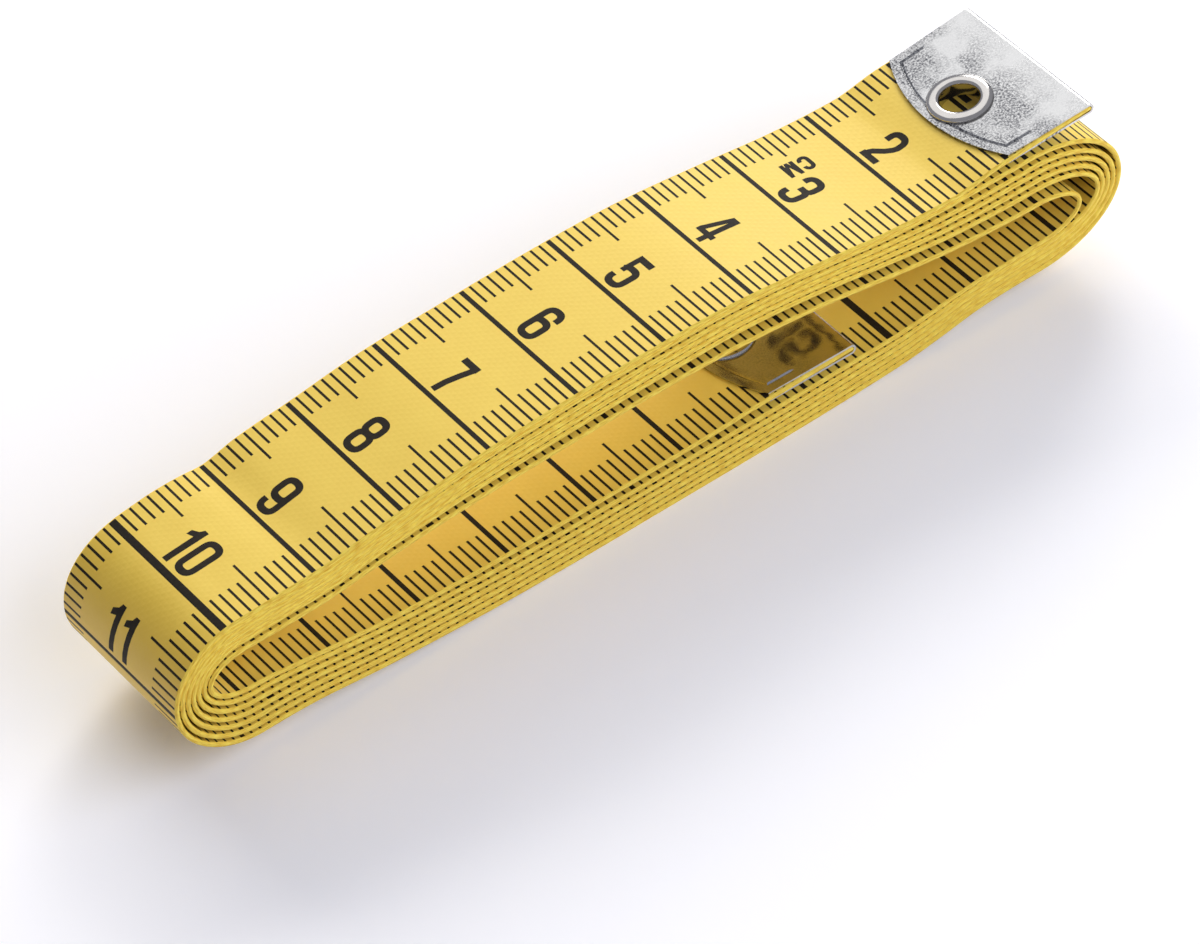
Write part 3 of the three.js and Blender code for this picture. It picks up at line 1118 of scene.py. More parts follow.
    def lower(self, x: np.ndarray | float, turn: int) -> np.ndarray:
        """Works out how high a lower run is.

        Args:
            x: Places along the loop.
            turn: The number of the turn, from 0 for the outermost.

        Returns:
            The heights of the middle of the tape there.
        """
        if turn == self.turns - 1:
            return self._inner_top(x) - self.thickness / 2
        return self._belly(x) + turn * self._belly_step(x) + self.thickness / 2

    def _run(self, height: Height, turn: int, start: float, end: float) -> np.ndarray:
        """Draws a run of one turn from one place along the loop to another."""
        x = np.linspace(start, end, int(abs(end - start) / self.run_step) + 1)
        return np.c_[x, height(x, turn)]

    def _fold(self, lower_turn: int, upper_turn: int, side: int) -> np.ndarray:
        """Draws a fold as half an ellipse.

        Args:
            lower_turn: The turn that its lower end belongs to.
            upper_turn: The turn that its upper end belongs to.
            side: -1 for one on the left, drawn downwards, or 1 for one on the right, drawn upwards.

        Returns:
            Its (x, z) points.
        """
        x, reach, step, middle = self.right_x, self.right_reach, self.right_reach_step, 0
        if side < 0:
            x, reach, step, middle = self.left_x, self.left_reach, self.left_reach_step, 180
        reach -= self.thickness / 2 + lower_turn * step
        if side > 0 and upper_turn == self.turns - 1:
            reach -= self.loose_fold_inset - step
        top, bottom = float(self.upper(x, upper_turn)), float(self.lower(x, lower_turn))
        centre, radii = (x, (top + bottom) / 2), (reach, (top - bottom) / 2)
        return arc(centre, radii, middle - 90, middle + 90, self.fold_steps)

    def _ease(self, height: Height, turn: int, tip: TipPlace, length: float) -> tuple[float, np.ndarray]:
        """Draws the bend between a run and the straight stretch in a tip.

        Args:
            height: The heights of the runs.
            turn: The turn that the run belongs to.
            tip: The tip's place.
            length: How long the bend is.

        Returns:
            Where along the loop it starts, and its (x, z) points.
        """
        end = tip.behind(self.tip_straight)[0]
        start_x = float(end[0]) - length
        start = np.array([start_x, float(height(start_x, turn))])
        back = 0.5
        lean = (float(height(start_x, turn)) - float(height(start_x - back, turn))) / back
        t = np.linspace(0, 1, int(length / self.run_step) + 1)[:, None]
        rise_out, rise_in = length * np.array([1, lean]), length * np.array([1, math.tan(tip.slope)])
        ends = start * (1 + 2 * t) * (1 - t) ** 2 + end * t**2 * (3 - 2 * t)
        return start_x, ends + t * (1 - t) * (rise_out * (1 - t) - rise_in * t)

    def _outer_end(self) -> np.ndarray:
        """Draws the loose outer end and its upper run.

        Returns:
            The (x, z) points, from the tip to the left fold.
        """
        start_x, bend = self._ease(self.upper, 0, self.outer_tip, self.outer_ease)
        straight = self.outer_tip.behind(np.linspace(0, self.tip_straight, self.straight_steps + 1))
        return np.vstack([straight, bend[::-1], self._run(self.upper, 0, start_x, self.left_x)])

    def _inner_end(self) -> np.ndarray:
        """Draws the last lower run.

        Returns:
            The (x, z) points, from the left fold to the inner tip.
        """
        turn = self.turns - 1
        start_x, bend = self._ease(self.lower, turn, self.inner_tip, self.inner_ease)
        straight = self.inner_tip.behind(np.linspace(self.tip_straight, 0, self.straight_steps + 1))
        return np.vstack([self._run(self.lower, turn, self.left_x, start_x), bend, straight])

    def at(self, mark: np.ndarray) -> tuple[np.ndarray, np.ndarray]:
        """Finds marks of the printed scale on the line.

        Args:
            mark: Printed millimetres from the outer tip.

        Returns:
            The (x, z) points there, and the outward normals.
        """
        distance = np.asarray(mark) * self.unit + self.zero_inset
        point = np.stack([np.interp(distance, self.along, c) for c in self.line.T], axis=-1)
        heading = np.stack([np.interp(distance, self.along, c) for c in self.heading.T], axis=-1)
        heading /= np.linalg.norm(heading, axis=-1, keepdims=True)
        return point, np.stack([heading[..., 1], -heading[..., 0]], axis=-1)

    def drift(self, mark: np.ndarray) -> np.ndarray:
        """Works out how far the tape strays sideways, as loosely wound turns do; its ends stay straight in the tips.

        Args:
            mark: Printed millimetres from the outer tip.

        Returns:
            The distances there.
        """
        sway = sum(np.sin(mark / wave + wave) for wave in self.wander_waves) / len(self.wander_waves)
        room = np.minimum(mark, self.printed_length - mark)
        share = np.clip((room - self.wander_from) / (self.wander_full - self.wander_from), 0, 1)
        return self.wander * sway * share * share * (3 - 2 * share)

    def bend(self, mark: np.ndarray) -> np.ndarray:
        """Works out how much the line bends.

        Args:
            mark: Printed millimetres from the outer tip.

        Returns:
            How far it turns over the printed millimetre from each mark on, in degrees.
        """
        _, before = self.at(mark)
        _, after = self.at(np.asarray(mark) + 1)
        return np.degrees(np.arccos(np.clip(np.sum(before * after, axis=-1), -1, 1)))

    def skin(self, mark: np.ndarray, y: np.ndarray, lift: np.ndarray, width: float) -> np.ndarray:
        """Finds points on the tape's skin.

        Args:
            mark: Printed millimetres from the outer tip.
            y: Places across the tape.
            lift: Heights over the middle of the tape, outwards.
            width: The tape's width.

        Returns:
            Points in the loop's frame.
        """
        point, normal = self.at(mark)
        y = np.asarray(y) + self.drift(np.asarray(mark))
        wave = self._far_wave(point[..., 0]) * (y / width + 0.5) * np.maximum(normal[..., 1], 0)
        x = point[..., 0] + normal[..., 0] * lift
        z = point[..., 1] + normal[..., 1] * lift + wave
        return np.stack([x, np.broadcast_to(y, x.shape), z], axis=-1)


@dataclass(frozen=True)
class Numerals:
    """Bold condensed figures and letters, drawn as strokes of one weight.

    Attributes:
        width: Width of a figure.
        height: Height of a figure.
        weight: Thickness of its strokes.
        gap: Room between figures.
        narrow: How much a number of three figures is narrowed.
        squareness: How full the bowls are; 2 is an ellipse.
        lap: How far the two halves of a closed bowl overlap.
        steps: How many stretches a quarter of a bowl has.
        waist: Height of the middle of a three and an eight.
        shoulder: Height of the middle of a six's lower bowl where it springs from the stem.
    """

    width: float = 2.5
    height: float = 4.75
    weight: float = 0.74
    gap: float = 0.5
    narrow: float = 0.84
    squareness: float = 2.6
    lap: float = 0.2
    steps: int = 6
    waist: float = 2.46
    shoulder: float = 1.95

    def _bowl(self, v: float, start: float, end: float, half: float | None = None) -> Outline:
        """Draws a squarish arc as wide as a figure.

        Args:
            v: Height of its middle.
            start: The angle of the first point, in degrees.
            end: The angle of the last point, in degrees.
            half: Half its height, or None for as much as half its width.

        Returns:
            The points.
        """
        r = (self.width - self.weight) / 2
        steps = max(2, round(abs(end - start) / 90 * self.steps))
        unit = arc((0, 0), (1, 1), start, end, steps)
        unit = np.sign(unit) * np.abs(unit) ** (2 / self.squareness)
        return unit * (r, r if half is None else half) + (self.width / 2, v)

    def _ring(self, low: float, high: float) -> list[Outline]:
        """Draws a closed bowl as two halves that overlap a little.

        Args:
            low: Height of its lower stroke's middle.
            high: Height of its upper stroke's middle.

        Returns:
            The outlines of both halves.
        """
        r = (self.width - self.weight) / 2
        rise = min(r, (high - low) / 2)
        m = self.width / 2
        right = np.vstack(
            [
                [(m - self.lap, low)],
                self._bowl(low + rise, -90, 0, rise),
                self._bowl(high - rise, 0, 90, rise),
                [(m - self.lap, high)],
            ]
        )
        left = right * (-1, 1) + (2 * m, 0)
        return [thicken(right, self.weight), thicken(left, self.weight)]

    def _six(self) -> list[Outline]:
        """Draws a six.

        Returns:
            The outlines of its strokes.
        """
        low, high = self.weight / 2, self.height - self.weight / 2
        r = (self.width - self.weight) / 2
        tail = [(self.width / 2 + r, self.shoulder)]
        stem = np.vstack([self._bowl(high - r, -8, 180), self._bowl(low + r, 180, 360), tail])
        left, right = self.weight / 2, self.width - self.weight / 2
        foot = self.shoulder - self.lap
        cap = np.vstack([[(right, foot)], self._bowl(self.shoulder, 0, 180, 0.75), [(left, foot)]])
        return [thicken(stem, self.weight), thicken(cap, self.weight)]

    def figure(self, digit: str) -> tuple[list[Outline], float]:
        """Draws one figure.

        Args:
            digit: A figure from 0 to 9.

        Returns:
            The outlines of its strokes, which may overlap, and its width.
        """
        w, h, t = self.width, self.height, self.weight
        low, high, left, right, m = t / 2, h - t / 2, t / 2, w - t / 2, w / 2
        r = right - m
        waist = self.waist
        bar = np.array
        if digit == "0":
            return self._ring(low, high), w
        if digit == "1":
            stem = [(0.88, 0), (1.64, 0), (1.64, h), (1.05, h), (0.80, 4.25), (0.1, 3.88), (0.1, 3.24), (0.88, 3.50)]
            return [bar(stem)], 1.75
        if digit == "2":
            sweep = [(right, 3.05), (right - 0.14, 2.62), (right - 0.55, 1.95), (left + 0.4, 1.1), (left + 0.1, 0.3)]
            hook = np.vstack([[(left, 3.1)], self._bowl(high - r, 180, 0), sweep])
            return [thicken(hook, t), bar([(0.1, 0), (w - 0.08, 0), (w - 0.08, t), (0.1, t)])], w
        if digit == "3":
            bend, middle = 0.55, [(m - 0.35, waist)]
            into = arc((right - bend, waist + bend), (bend, bend), 0, -90, 4)
            out = arc((right - bend, waist - bend), (bend, bend), 90, 0, 4)
            upper = np.vstack([self._bowl(high - r, 186, 0), into, middle])
            lower = np.vstack([middle, out, self._bowl(low + r, 0, -186)])
            return [thicken(upper, t), thicken(lower, t)], w
        if digit == "4":
            stem = bar([(1.35, 0), (2.02, 0), (2.02, h), (1.35, h)])
            cross = bar([(0.05, 0.95), (2.45, 0.95), (2.45, 1.6), (0.05, 1.6)])
            slant = bar([(0.05, 1.5), (0.72, 1.5), (1.62, h), (1.0, h)])
            return [stem, cross, slant], w
        if digit == "5":
            flag = bar([(0.2, h - t), (2.3, h - t), (2.3, h), (0.2, h)])
            stem = bar([(0.2, 2.15), (0.84, 2.15), (0.84, h), (0.2, h)])
            bowl = np.vstack([self._bowl(2.2, 160, 0, 0.72), self._bowl(low + r, 0, -186)])
            return [flag, stem, thicken(bowl, t)], w
        if digit == "6":
            return self._six(), w
        if digit == "7":
            flag = bar([(0.1, h - t), (2.4, h - t), (2.4, h), (0.1, h)])
            leg = bar([(2.05, h - t / 2), (1.62, 2.8), (1.3, 1.4), (1.18, 0)])
            return [flag, thicken(leg, t)], w
        if digit == "8":
            return [*self._ring(waist + 0.02, high), *self._ring(low, waist + 0.02)], w
        return [(w, h) - outline for outline in self._six()], w

    def number(self, value: int) -> list[Outline]:
        """Draws a number.

        Args:
            value: The number.

        Returns:
            The outlines of its strokes, centred on u = 0 and standing on v = 0.
        """
        drawn: list[Outline] = []
        u = 0.0
        for digit in str(value):
            outlines, wide = self.figure(digit)
            drawn += [outline + (u, 0) for outline in outlines]
            u += wide + self.gap
        squeeze = self.narrow if value > 99 else 1.0
        return [(outline - ((u - self.gap) / 2, 0)) * (squeeze, 1) for outline in drawn]

    def unit_letters(self) -> list[Outline]:
        """Draws the capital letters C and M of the unit.

        Returns:
            The outlines of their strokes, centred on both axes.
        """
        h, t = 2.2, 0.45
        c_wide, m_wide, gap = 1.30, 1.56, 0.28
        r = (c_wide - t) / 2
        lip, steps = 12, 9
        c_top = arc((c_wide / 2, h - t / 2 - r), (r, r), -lip, 180, steps)
        c_line = np.vstack([c_top, arc((c_wide / 2, t / 2 + r), (r, r), 180, 360 + lip, steps)])
        middle, point, arm = m_wide / 2, 0.18, 0.42
        letter_m = [
            np.array([(0, 0), (t, 0), (t, h), (0, h)]),
            np.array([(m_wide - t, 0), (m_wide, 0), (m_wide, h), (m_wide - t, h)]),
            np.array([(0, h), (middle - point, 0), (middle + point, 0), (arm, h)]),
            np.array([(m_wide - arm, h), (middle - point, 0), (middle + point, 0), (m_wide, h)]),
        ]
        drawn = [thicken(c_line, t), *(outline + (c_wide + gap, 0) for outline in letter_m)]
        return [outline - ((c_wide + gap + m_wide) / 2, h / 2) for outline in drawn]


class Face(Enum):
    """The two faces of the tape; the value is the side of its middle that it is on."""

    OUTER = 1
    INNER = -1


class Skin(Enum):
    """The tape's material slots."""

    VINYL = 0
    INK = 1
    EDGE = 2


class Mark(Enum):
    """The marks of the scale, from none to the longest; the half centimetre by the letters is cut short."""

    NONE = 0
    MILLIMETRE = 1
    SHORT_HALF = 2
    HALF = 3
    CENTIMETRE = 4


# The shortest mark that reaches each strip of a face, from its far border to its near one.
STRIP_LEVELS = (
    Mark.MILLIMETRE,
    Mark.SHORT_HALF,
    Mark.HALF,
    Mark.CENTIMETRE,
    Mark.SHORT_HALF,
    Mark.MILLIMETRE,
)


@dataclass
class Cell:
    """A stretch of a face's middle that holds print or a hole, on the whole tape's scale.

    Attributes:
        low: Its first printed millimetre.
        high: Its last one.
        drawn: The outlines printed in it.
        hole: The outline of an eyelet's hole, or None.
    """

    low: float
    high: float
    drawn: list[Outline]
    hole: Outline | None = None


@dataclass
class Stretch:
    """The mesh of a stretch of the tape while it grows.

    Attributes:
        places: Printed millimetres of its rings of points.
        bent: Which of these rings lie in a bend between marks.
        number: The points' numbers, by ring and by place around the tape's section.
        points: Its points, block by block.
        flat: Their places on the flat tape, block by block.
        faces: Point numbers of each face.
        finish: Each face's slot.
        open_middle: For each face of the tape, where its middle is still open from one ring to the next.
        rims: For each face of the tape, the points around its holes.
    """

    places: np.ndarray
    bent: np.ndarray
    number: np.ndarray
    points: list[np.ndarray]
    flat: list[np.ndarray]
    faces: list[list[int]] = field(default_factory=list)
    finish: list[int] = field(default_factory=list)
    open_middle: dict[Face, np.ndarray] = field(init=False)
    rims: dict[Face, list[np.ndarray]] = field(init=False)

    def __post_init__(self) -> None:
        """Leaves the middle of both faces open, with no holes."""
        self.open_middle = {face: np.ones(len(self.places) - 1, bool) for face in Face}
        self.rims = {face: [] for face in Face}

    def add_points(self, points: np.ndarray, flat: np.ndarray) -> np.ndarray:
        """Adds a block of points.

        Args:
            points: The points.
            flat: Their places on the flat tape.

        Returns:
            Their numbers.
        """
        first = sum(map(len, self.points))
        self.points.append(points)
        self.flat.append(flat)
        return first + np.arange(len(points))

    def add_faces(self, faces: np.ndarray, finish: np.ndarray) -> None:
        """Adds faces, each with its slot."""
        self.faces += faces.tolist()
        self.finish += finish.tolist()


@dataclass
class PrintedTape:
    """The tape itself: three meshes that meet at printed lines, with the scale cut into both faces.

    Attributes:
        route: The line that it follows.
        tip: A tip, for the hole of its eyelet and the thickness of its sheet.
        width: Its width.
        bare_margin: How far its worn, unprinted border runs in from each edge.
        edge_height: Height of the flat part of its rounded edge.
        tick: Half the thickness of a millimetre's mark.
        line: Half the thickness of a centimetre's line.
        decade: Half the thickness of every tenth line.
        figure_rise: Room between a line and the foot of its number.
        figure_offset: How far the numbers stand off the middle of the tape.
        letters_mark: The half centimetre that is short, beside the letters.
        letters_at: Where along the scale the middle of the letters is.
        letters_offset: How far the letters stand off the middle of the tape.
        hole_room: Least room between a number and the hole for an eyelet.
        cell_room: Least room around the print in its cell, in half millimetres.
        rim_room: Least room around a hole in its cell, in millimetres.
        outer_seam: The printed line where the loose outer end starts, in millimetres from its tip.
        inner_seam: The one where the loose inner end starts.
        bend_shown: How far the tape turns in a millimetre, in degrees, where its rings are closer.
        lift_lead: How far before its hinge a loose end would start to bend up; not used.
        lift_length: How long that bend would be; not used.
        lift_reach: How much of a loose end, from its seam on, has the closer rings that this bend needs.
        lift_places: Where in each millimetre these rings are.
        end_gap: Room between the tape's end and the fold of the tip.
        end_taper: How far from its end the tape is pressed thin.
        end_thinness: The share of its thickness that is left there.
    """

    route: TapeRoute
    tip: Tip
    width: float = 19.0
    bare_margin: float = 0.2
    edge_height: float = 0.3
    tick: float = 0.13
    line: float = 0.25
    decade: float = 0.38
    far_tick_length: float = 3.05
    near_tick_length: float = 3.95
    far_short_half_length: float = 3.95
    far_half_length: float = 4.7
    near_half_length: float = 6.0
    figure_rise: float = 0.40
    figure_offset: float = 0.55
    letters_mark: int = 25
    letters_at: float = 25.05
    letters_offset: float = 3.62
    hole_room: float = 0.1
    cell_room: float = 0.05
    rim_room: float = 0.5
    outer_seam: int = 50
    inner_seam: int = 40
    bend_shown: float = 3.0
    lift_lead: float = 2.0
    lift_length: float = 16.0
    lift_reach: float = 24.0
    lift_places: tuple[float, ...] = (0.25, 0.5, 0.75)
    end_gap: float = 0.06
    end_taper: float = 0.14
    end_thinness: float = 0.45
    numerals: Numerals = field(default_factory=Numerals)

    def __post_init__(self) -> None:
        """Works out the ring of points around the tape's section, from the outer face's far border on."""
        half = self.width / 2
        face = [half - self.bare_margin, half - self.far_tick_length, half - self.far_short_half_length]
        face += [half - self.far_half_length, self.near_half_length - half, self.near_tick_length - half]
        face += [self.bare_margin - half]
        self.face_rows = len(face)
        self.ring_y = np.array([*face, -half, -half, *face[::-1], half, half])
        up, edge = self.route.thickness / 2, self.edge_height / 2
        self.ring_lift = np.array([*[up] * self.face_rows, edge, -edge, *[-up] * self.face_rows, -edge, edge])
        # On the flat map, the lower half of each edge lies beyond the upper half, so that no pattern repeats.
        beyond = np.zeros(len(self.ring_y))
        beyond[[self.face_rows + 1, -2]] = self.edge_height
        self.ring_flat = self.ring_y + beyond * np.sign(self.ring_y)
        inner = self.face_rows + 2
        self.strip_level = dict(enumerate(STRIP_LEVELS))
        self.strip_level |= dict(enumerate(reversed(STRIP_LEVELS), inner))
        middle = STRIP_LEVELS.index(Mark.CENTIMETRE)
        self.centre_strip = {Face.OUTER: middle, Face.INNER: inner + len(STRIP_LEVELS) - 1 - middle}
        self.borders = (0, self.face_rows - 1, inner, inner + self.face_rows - 1)
        self.full_length = self.route.printed_length
        self.outer_cut = self.outer_seam + self.line
        self.inner_cut = self.full_length - self.inner_seam - self.line

    def half_mark(self, mark: int) -> float:
        """Works out how thick a mark is.

        Args:
            mark: Its printed millimetre.

        Returns:
            Half its thickness.
        """
        if mark % 100 == 0:
            return self.decade
        return self.line if mark % 10 == 0 else self.tick

    def columns(self, start: float, end: float) -> tuple[np.ndarray, np.ndarray]:
        """Finds where the mesh has a ring of points: at both sides of each mark, and closer where it bends.

        Args:
            start: The piece's first printed millimetre.
            end: Its last one.

        Returns:
            The places, and which of them lie in a bend between marks.
        """
        whole = np.arange(int(self.full_length))
        sides = np.array([(m - self.half_mark(m), m + self.half_mark(m)) for m in whole[1:].tolist()]).ravel()
        between = whole + 0.5
        bent = between[self.route.bend(np.clip(between, 1, self.full_length - 2)) > self.bend_shown]
        closer = (whole[:, None] + self.lift_places).ravel()
        lifts = (closer > self.outer_cut - self.lift_reach) & (closer < self.outer_cut)
        lifts |= (closer > self.inner_cut) & (closer < self.inner_cut + self.lift_reach)
        bent = np.round(np.r_[bent, closer[lifts]], PLACE_DIGITS)
        cells = [edge for face in Face for cell in self.cells(face) for edge in (cell.low, cell.high)]
        tapers = [start + self.end_taper, end - self.end_taper]
        every = np.unique(np.round(np.r_[start, end, tapers, sides, bent, cells], PLACE_DIGITS))
        every = every[(every >= start) & (every <= end)]
        return every, np.isin(every, bent)

    def pressed(self, places: np.ndarray) -> np.ndarray:
        """Works out how thin the folds of the tips press the tape at its two ends.

        Args:
            places: Printed millimetres from the outer tip.

        Returns:
            The share of its thickness that the tape has there.
        """
        room = np.minimum(places, self.full_length - places) * self.route.unit + self.route.zero_inset
        share = np.clip((room - self.tip.sheet - self.end_gap) / self.end_taper, 0, 1)
        return self.end_thinness + (1 - self.end_thinness) * share

    def marking(self, places: np.ndarray, face: Face) -> np.ndarray:
        """Works out which marks are printed between the rings of points.

        Args:
            places: Printed millimetres of the rings, from the outer tip.
            face: The face of the tape.

        Returns:
            For each step from one ring to the next, how long a mark it holds, as a value of Mark.
        """
        middle = (places[1:] + places[:-1]) / 2
        mark = np.round(middle).astype(int)
        inked = np.abs(middle - mark) < [self.half_mark(m) for m in mark.tolist()]
        inked &= (mark > 0) & (mark < self.full_length)
        by_letters = self.letters_mark if face is Face.OUTER else int(self.full_length) - self.letters_mark
        level = np.where(mark % 5 == 0, Mark.HALF.value, Mark.MILLIMETRE.value)
        level = np.where(mark == by_letters, Mark.SHORT_HALF.value, level)
        level = np.where(mark % 10 == 0, Mark.CENTIMETRE.value, level)
        return np.where(inked, level, Mark.NONE.value)

    def on_face(self, outline: Outline, face: Face) -> Outline:
        """Moves an outline from a face's own scale onto the whole tape's scale.

        Args:
            outline: Its (mark, y) points.
            face: The face that it is on.

        Returns:
            The moved outline, counter-clockwise.
        """
        if face is Face.INNER:
            outline = np.c_[self.full_length - outline[:, 0], outline[:, 1]]
        return counter_clockwise(outline)

    def cells(self, face: Face) -> list[Cell]:
        """Draws all numbers of a face, and the letters of the unit.

        Args:
            face: The face.

        Returns:
            The cells that hold them.
        """
        hole_end = self.tip.eyelet_setback + self.tip.eyelet_hole
        found = []
        last = int(self.full_length / 10) - 1
        for value in range(2, last + 1):
            base = value * 10 - self.line - self.figure_rise
            if value == last:
                base = min(base, self.full_length - hole_end - self.hole_room)
            if value % 10 == 0:
                base -= self.decade - self.line
            drawn = [np.c_[base - o[:, 1], self.figure_offset - o[:, 0]] for o in self.numerals.number(value)]
            if value == math.ceil(self.letters_mark / 10):
                drawn += [
                    np.c_[self.letters_at + o[:, 0], self.letters_offset - o[:, 1]]
                    for o in self.numerals.unit_letters()
                ]
            drawn = [self.on_face(o, face) for o in drawn]
            low = min(o[:, 0].min() for o in drawn)
            high = max(o[:, 0].max() for o in drawn)
            first, end = math.floor(low * 2 - self.cell_room) / 2, math.ceil(high * 2 + self.cell_room) / 2
            found.append(Cell(first, end, drawn))
        return found

    def hole_cells(self) -> list[Cell]:
        """Draws the holes for the two eyelets.

        Returns:
            The cells that hold them.
        """
        radius = self.tip.eyelet_hole / self.route.unit
        setback = (self.tip.eyelet_setback - self.route.zero_inset) / self.route.unit
        found = []
        for at in (setback, self.full_length - setback):
            hole = arc((at, 0), (radius, self.tip.eyelet_hole), 0, 360, self.tip.hole_steps)[:-1]
            low, high = hole[:, 0].min(), hole[:, 0].max()
            found.append(Cell(math.floor(low) - self.rim_room, math.ceil(high) + self.rim_room, [], hole))
        return found

    def joined_cells(self, face: Face, start: float, end: float) -> list[Cell]:
        """Joins the cells of one face in a stretch of the tape where they overlap.

        Args:
            face: The face.
            start: The stretch's first printed millimetre.
            end: Its last one.

        Returns:
            The cells, in order.
        """
        joined: list[Cell] = []
        for cell in sorted([*self.cells(face), *self.hole_cells()], key=lambda c: c.low):
            if cell.low < start or cell.high > end:
                continue
            if joined and cell.low < joined[-1].high:
                before = joined.pop()
                hole = before.hole if cell.hole is None else cell.hole
                cell = Cell(before.low, max(before.high, cell.high), before.drawn + cell.drawn, hole)
            joined.append(cell)
        return joined

    def lay_rings(self, start: float, end: float) -> Stretch:
        """Lays the rings of points of a stretch of the tape and closes its two ends.

        Args:
            start: Its first printed millimetre.
            end: Its last one.

        Returns:
            The mesh so far.
        """
        places, bent = self.columns(start, end)
        number = np.arange(len(places) * len(self.ring_y)).reshape(len(places), -1)
        lift = self.ring_lift[None, :] * self.pressed(places)[:, None]
        skin = self.route.skin(places[:, None], self.ring_y[None, :], lift, self.width)
        flat = np.stack(np.broadcast_arrays(places[:, None], self.ring_flat[None, :]), axis=-1)
        mesh = Stretch(places, bent, number, [skin.reshape(-1, 3)], [flat.reshape(-1, 2)])
        mesh.add_faces(np.array([number[0], number[-1, ::-1]]), np.full(2, Skin.EDGE.value))
        return mesh

    def fill_cell(self, mesh: Stretch, face: Face, cell: Cell) -> None:
        """Covers a cell of a face's middle with the print in it, around its hole.

        Args:
            mesh: The stretch of the tape.
            face: The face.
            cell: The cell.
        """
        strip = self.centre_strip[face]
        rows = [strip + 1, strip] if face is Face.OUTER else [strip, strip + 1]
        near, far = self.ring_y[rows]
        i, j = np.searchsorted(mesh.places, np.array((cell.low, cell.high)) - 10.0**-PLACE_DIGITS)
        mesh.open_middle[face][i:j] = False
        held = mesh.places[i : j + 1]
        border = np.c_[np.r_[held, held[::-1]], np.repeat((near, far), len(held))]
        near_number, far_number = mesh.number[i : j + 1, rows].T
        border_number = np.r_[near_number, far_number[::-1]]
        across = [np.array([(at, near), (at, far)]) for at in held[1:-1][mesh.bent[i + 1 : j]]]
        holes = [] if cell.hole is None else [counter_clockwise(cell.hole)]
        filled = fill(border, [*cell.drawn, *holes], across)
        fresh = (filled.given >= len(border)) | (filled.given < 0)
        new = filled.points[fresh]
        lift = np.full(len(new), face.value * self.route.thickness / 2)
        index = np.empty(len(filled.points), int)
        index[~fresh] = border_number[filled.given[~fresh]]
        index[fresh] = mesh.add_points(self.route.skin(new[:, 0], new[:, 1], lift, self.width), new)
        solid = filled.shape != len(cell.drawn)
        inked = filled.shape[solid] >= 0
        order = slice(None, None, -1) if face is Face.OUTER else slice(None)
        mesh.add_faces(
            index[filled.triangles[solid]][:, order], np.where(inked, Skin.INK.value, Skin.VINYL.value)
        )
        number_of = dict(zip(filled.given.tolist(), index.tolist()))
        first = len(border) + sum(map(len, cell.drawn))
        for hole in holes:
            mesh.rims[face].append(np.array([number_of[first + k] for k in range(len(hole))]))

    def cover_strips(self, mesh: Stretch) -> None:
        """Covers all that isn't a cell: the rest of both faces, with the marks of the scale, and the edges.

        Args:
            mesh: The stretch of the tape.
        """
        number, marking = mesh.number, {face: self.marking(mesh.places, face) for face in Face}
        shown_in = {self.centre_strip[face]: mesh.open_middle[face] for face in Face}
        for strip in range(len(self.ring_y)):
            after = (strip + 1) % len(self.ring_y)
            quads = np.c_[number[:-1, strip], number[1:, strip], number[1:, after], number[:-1, after]]
            finish = np.full(len(quads), Skin.EDGE.value)
            if strip in self.strip_level:
                face = Face.OUTER if strip < self.face_rows else Face.INNER
                inked = marking[face] >= self.strip_level[strip].value
                finish = np.where(inked, Skin.INK.value, Skin.VINYL.value)
            shown = shown_in.get(strip, np.ones(len(quads), bool))
            mesh.add_faces(quads[shown], finish[shown])

    def build_piece(
        self, name: str, start: float, end: float, materials: Sequence[bpy.types.Material]
    ) -> bpy.types.Object:
        """Makes one stretch of the tape as a closed mesh.

        Args:
            name: The piece's name.
            start: Its first printed millimetre.
            end: Its last one.
            materials: Its slots, in the order of Skin.

        Returns:
            The object.
        """
        mesh = self.lay_rings(start, end)
        for face in Face:
            for cell in self.joined_cells(face, start, end):
                self.fill_cell(mesh, face, cell)
        self.cover_strips(mesh)
        for outer, inner in zip(mesh.rims[Face.OUTER], mesh.rims[Face.INNER]):
            wall = np.c_[outer, np.roll(outer, -1), np.roll(inner, -1), inner]
            mesh.add_faces(wall, np.full(len(wall), Skin.EDGE.value))
        piece = make_object(name, np.vstack(mesh.points), mesh.faces, np.vstack(mesh.flat), materials, mesh.finish)
        self.crease(piece, mesh)
        return piece

    def crease(self, piece: bpy.types.Object, mesh: Stretch) -> None:
        """Keeps the lines between faces and edges, the cut ends and the holes crisp.

        Args:
            piece: The object.
            mesh: The stretch of the tape that it was made from.
        """
        data, number = piece.data, mesh.number
        group = np.full(len(data.vertices), -1)
        for row in self.borders:
            group[number[1:-1, row]] = row
        ends = np.zeros(len(data.vertices), int)
        ends[number[0]], ends[number[-1]] = 1, 2
        for k, hole in enumerate([*mesh.rims[Face.OUTER], *mesh.rims[Face.INNER]]):
            group[hole] = len(self.ring_y) + k
        pair = np.zeros(len(data.edges) * 2, np.int32)
        data.edges.foreach_get("vertices", pair)
        a, b = pair.reshape(-1, 2).T
        sharp = (group[a] == group[b]) & (group[a] >= 0)
        sharp |= (ends[a] == ends[b]) & (ends[a] > 0)
        data.edges.foreach_set("use_edge_sharp", sharp)
        data.update()

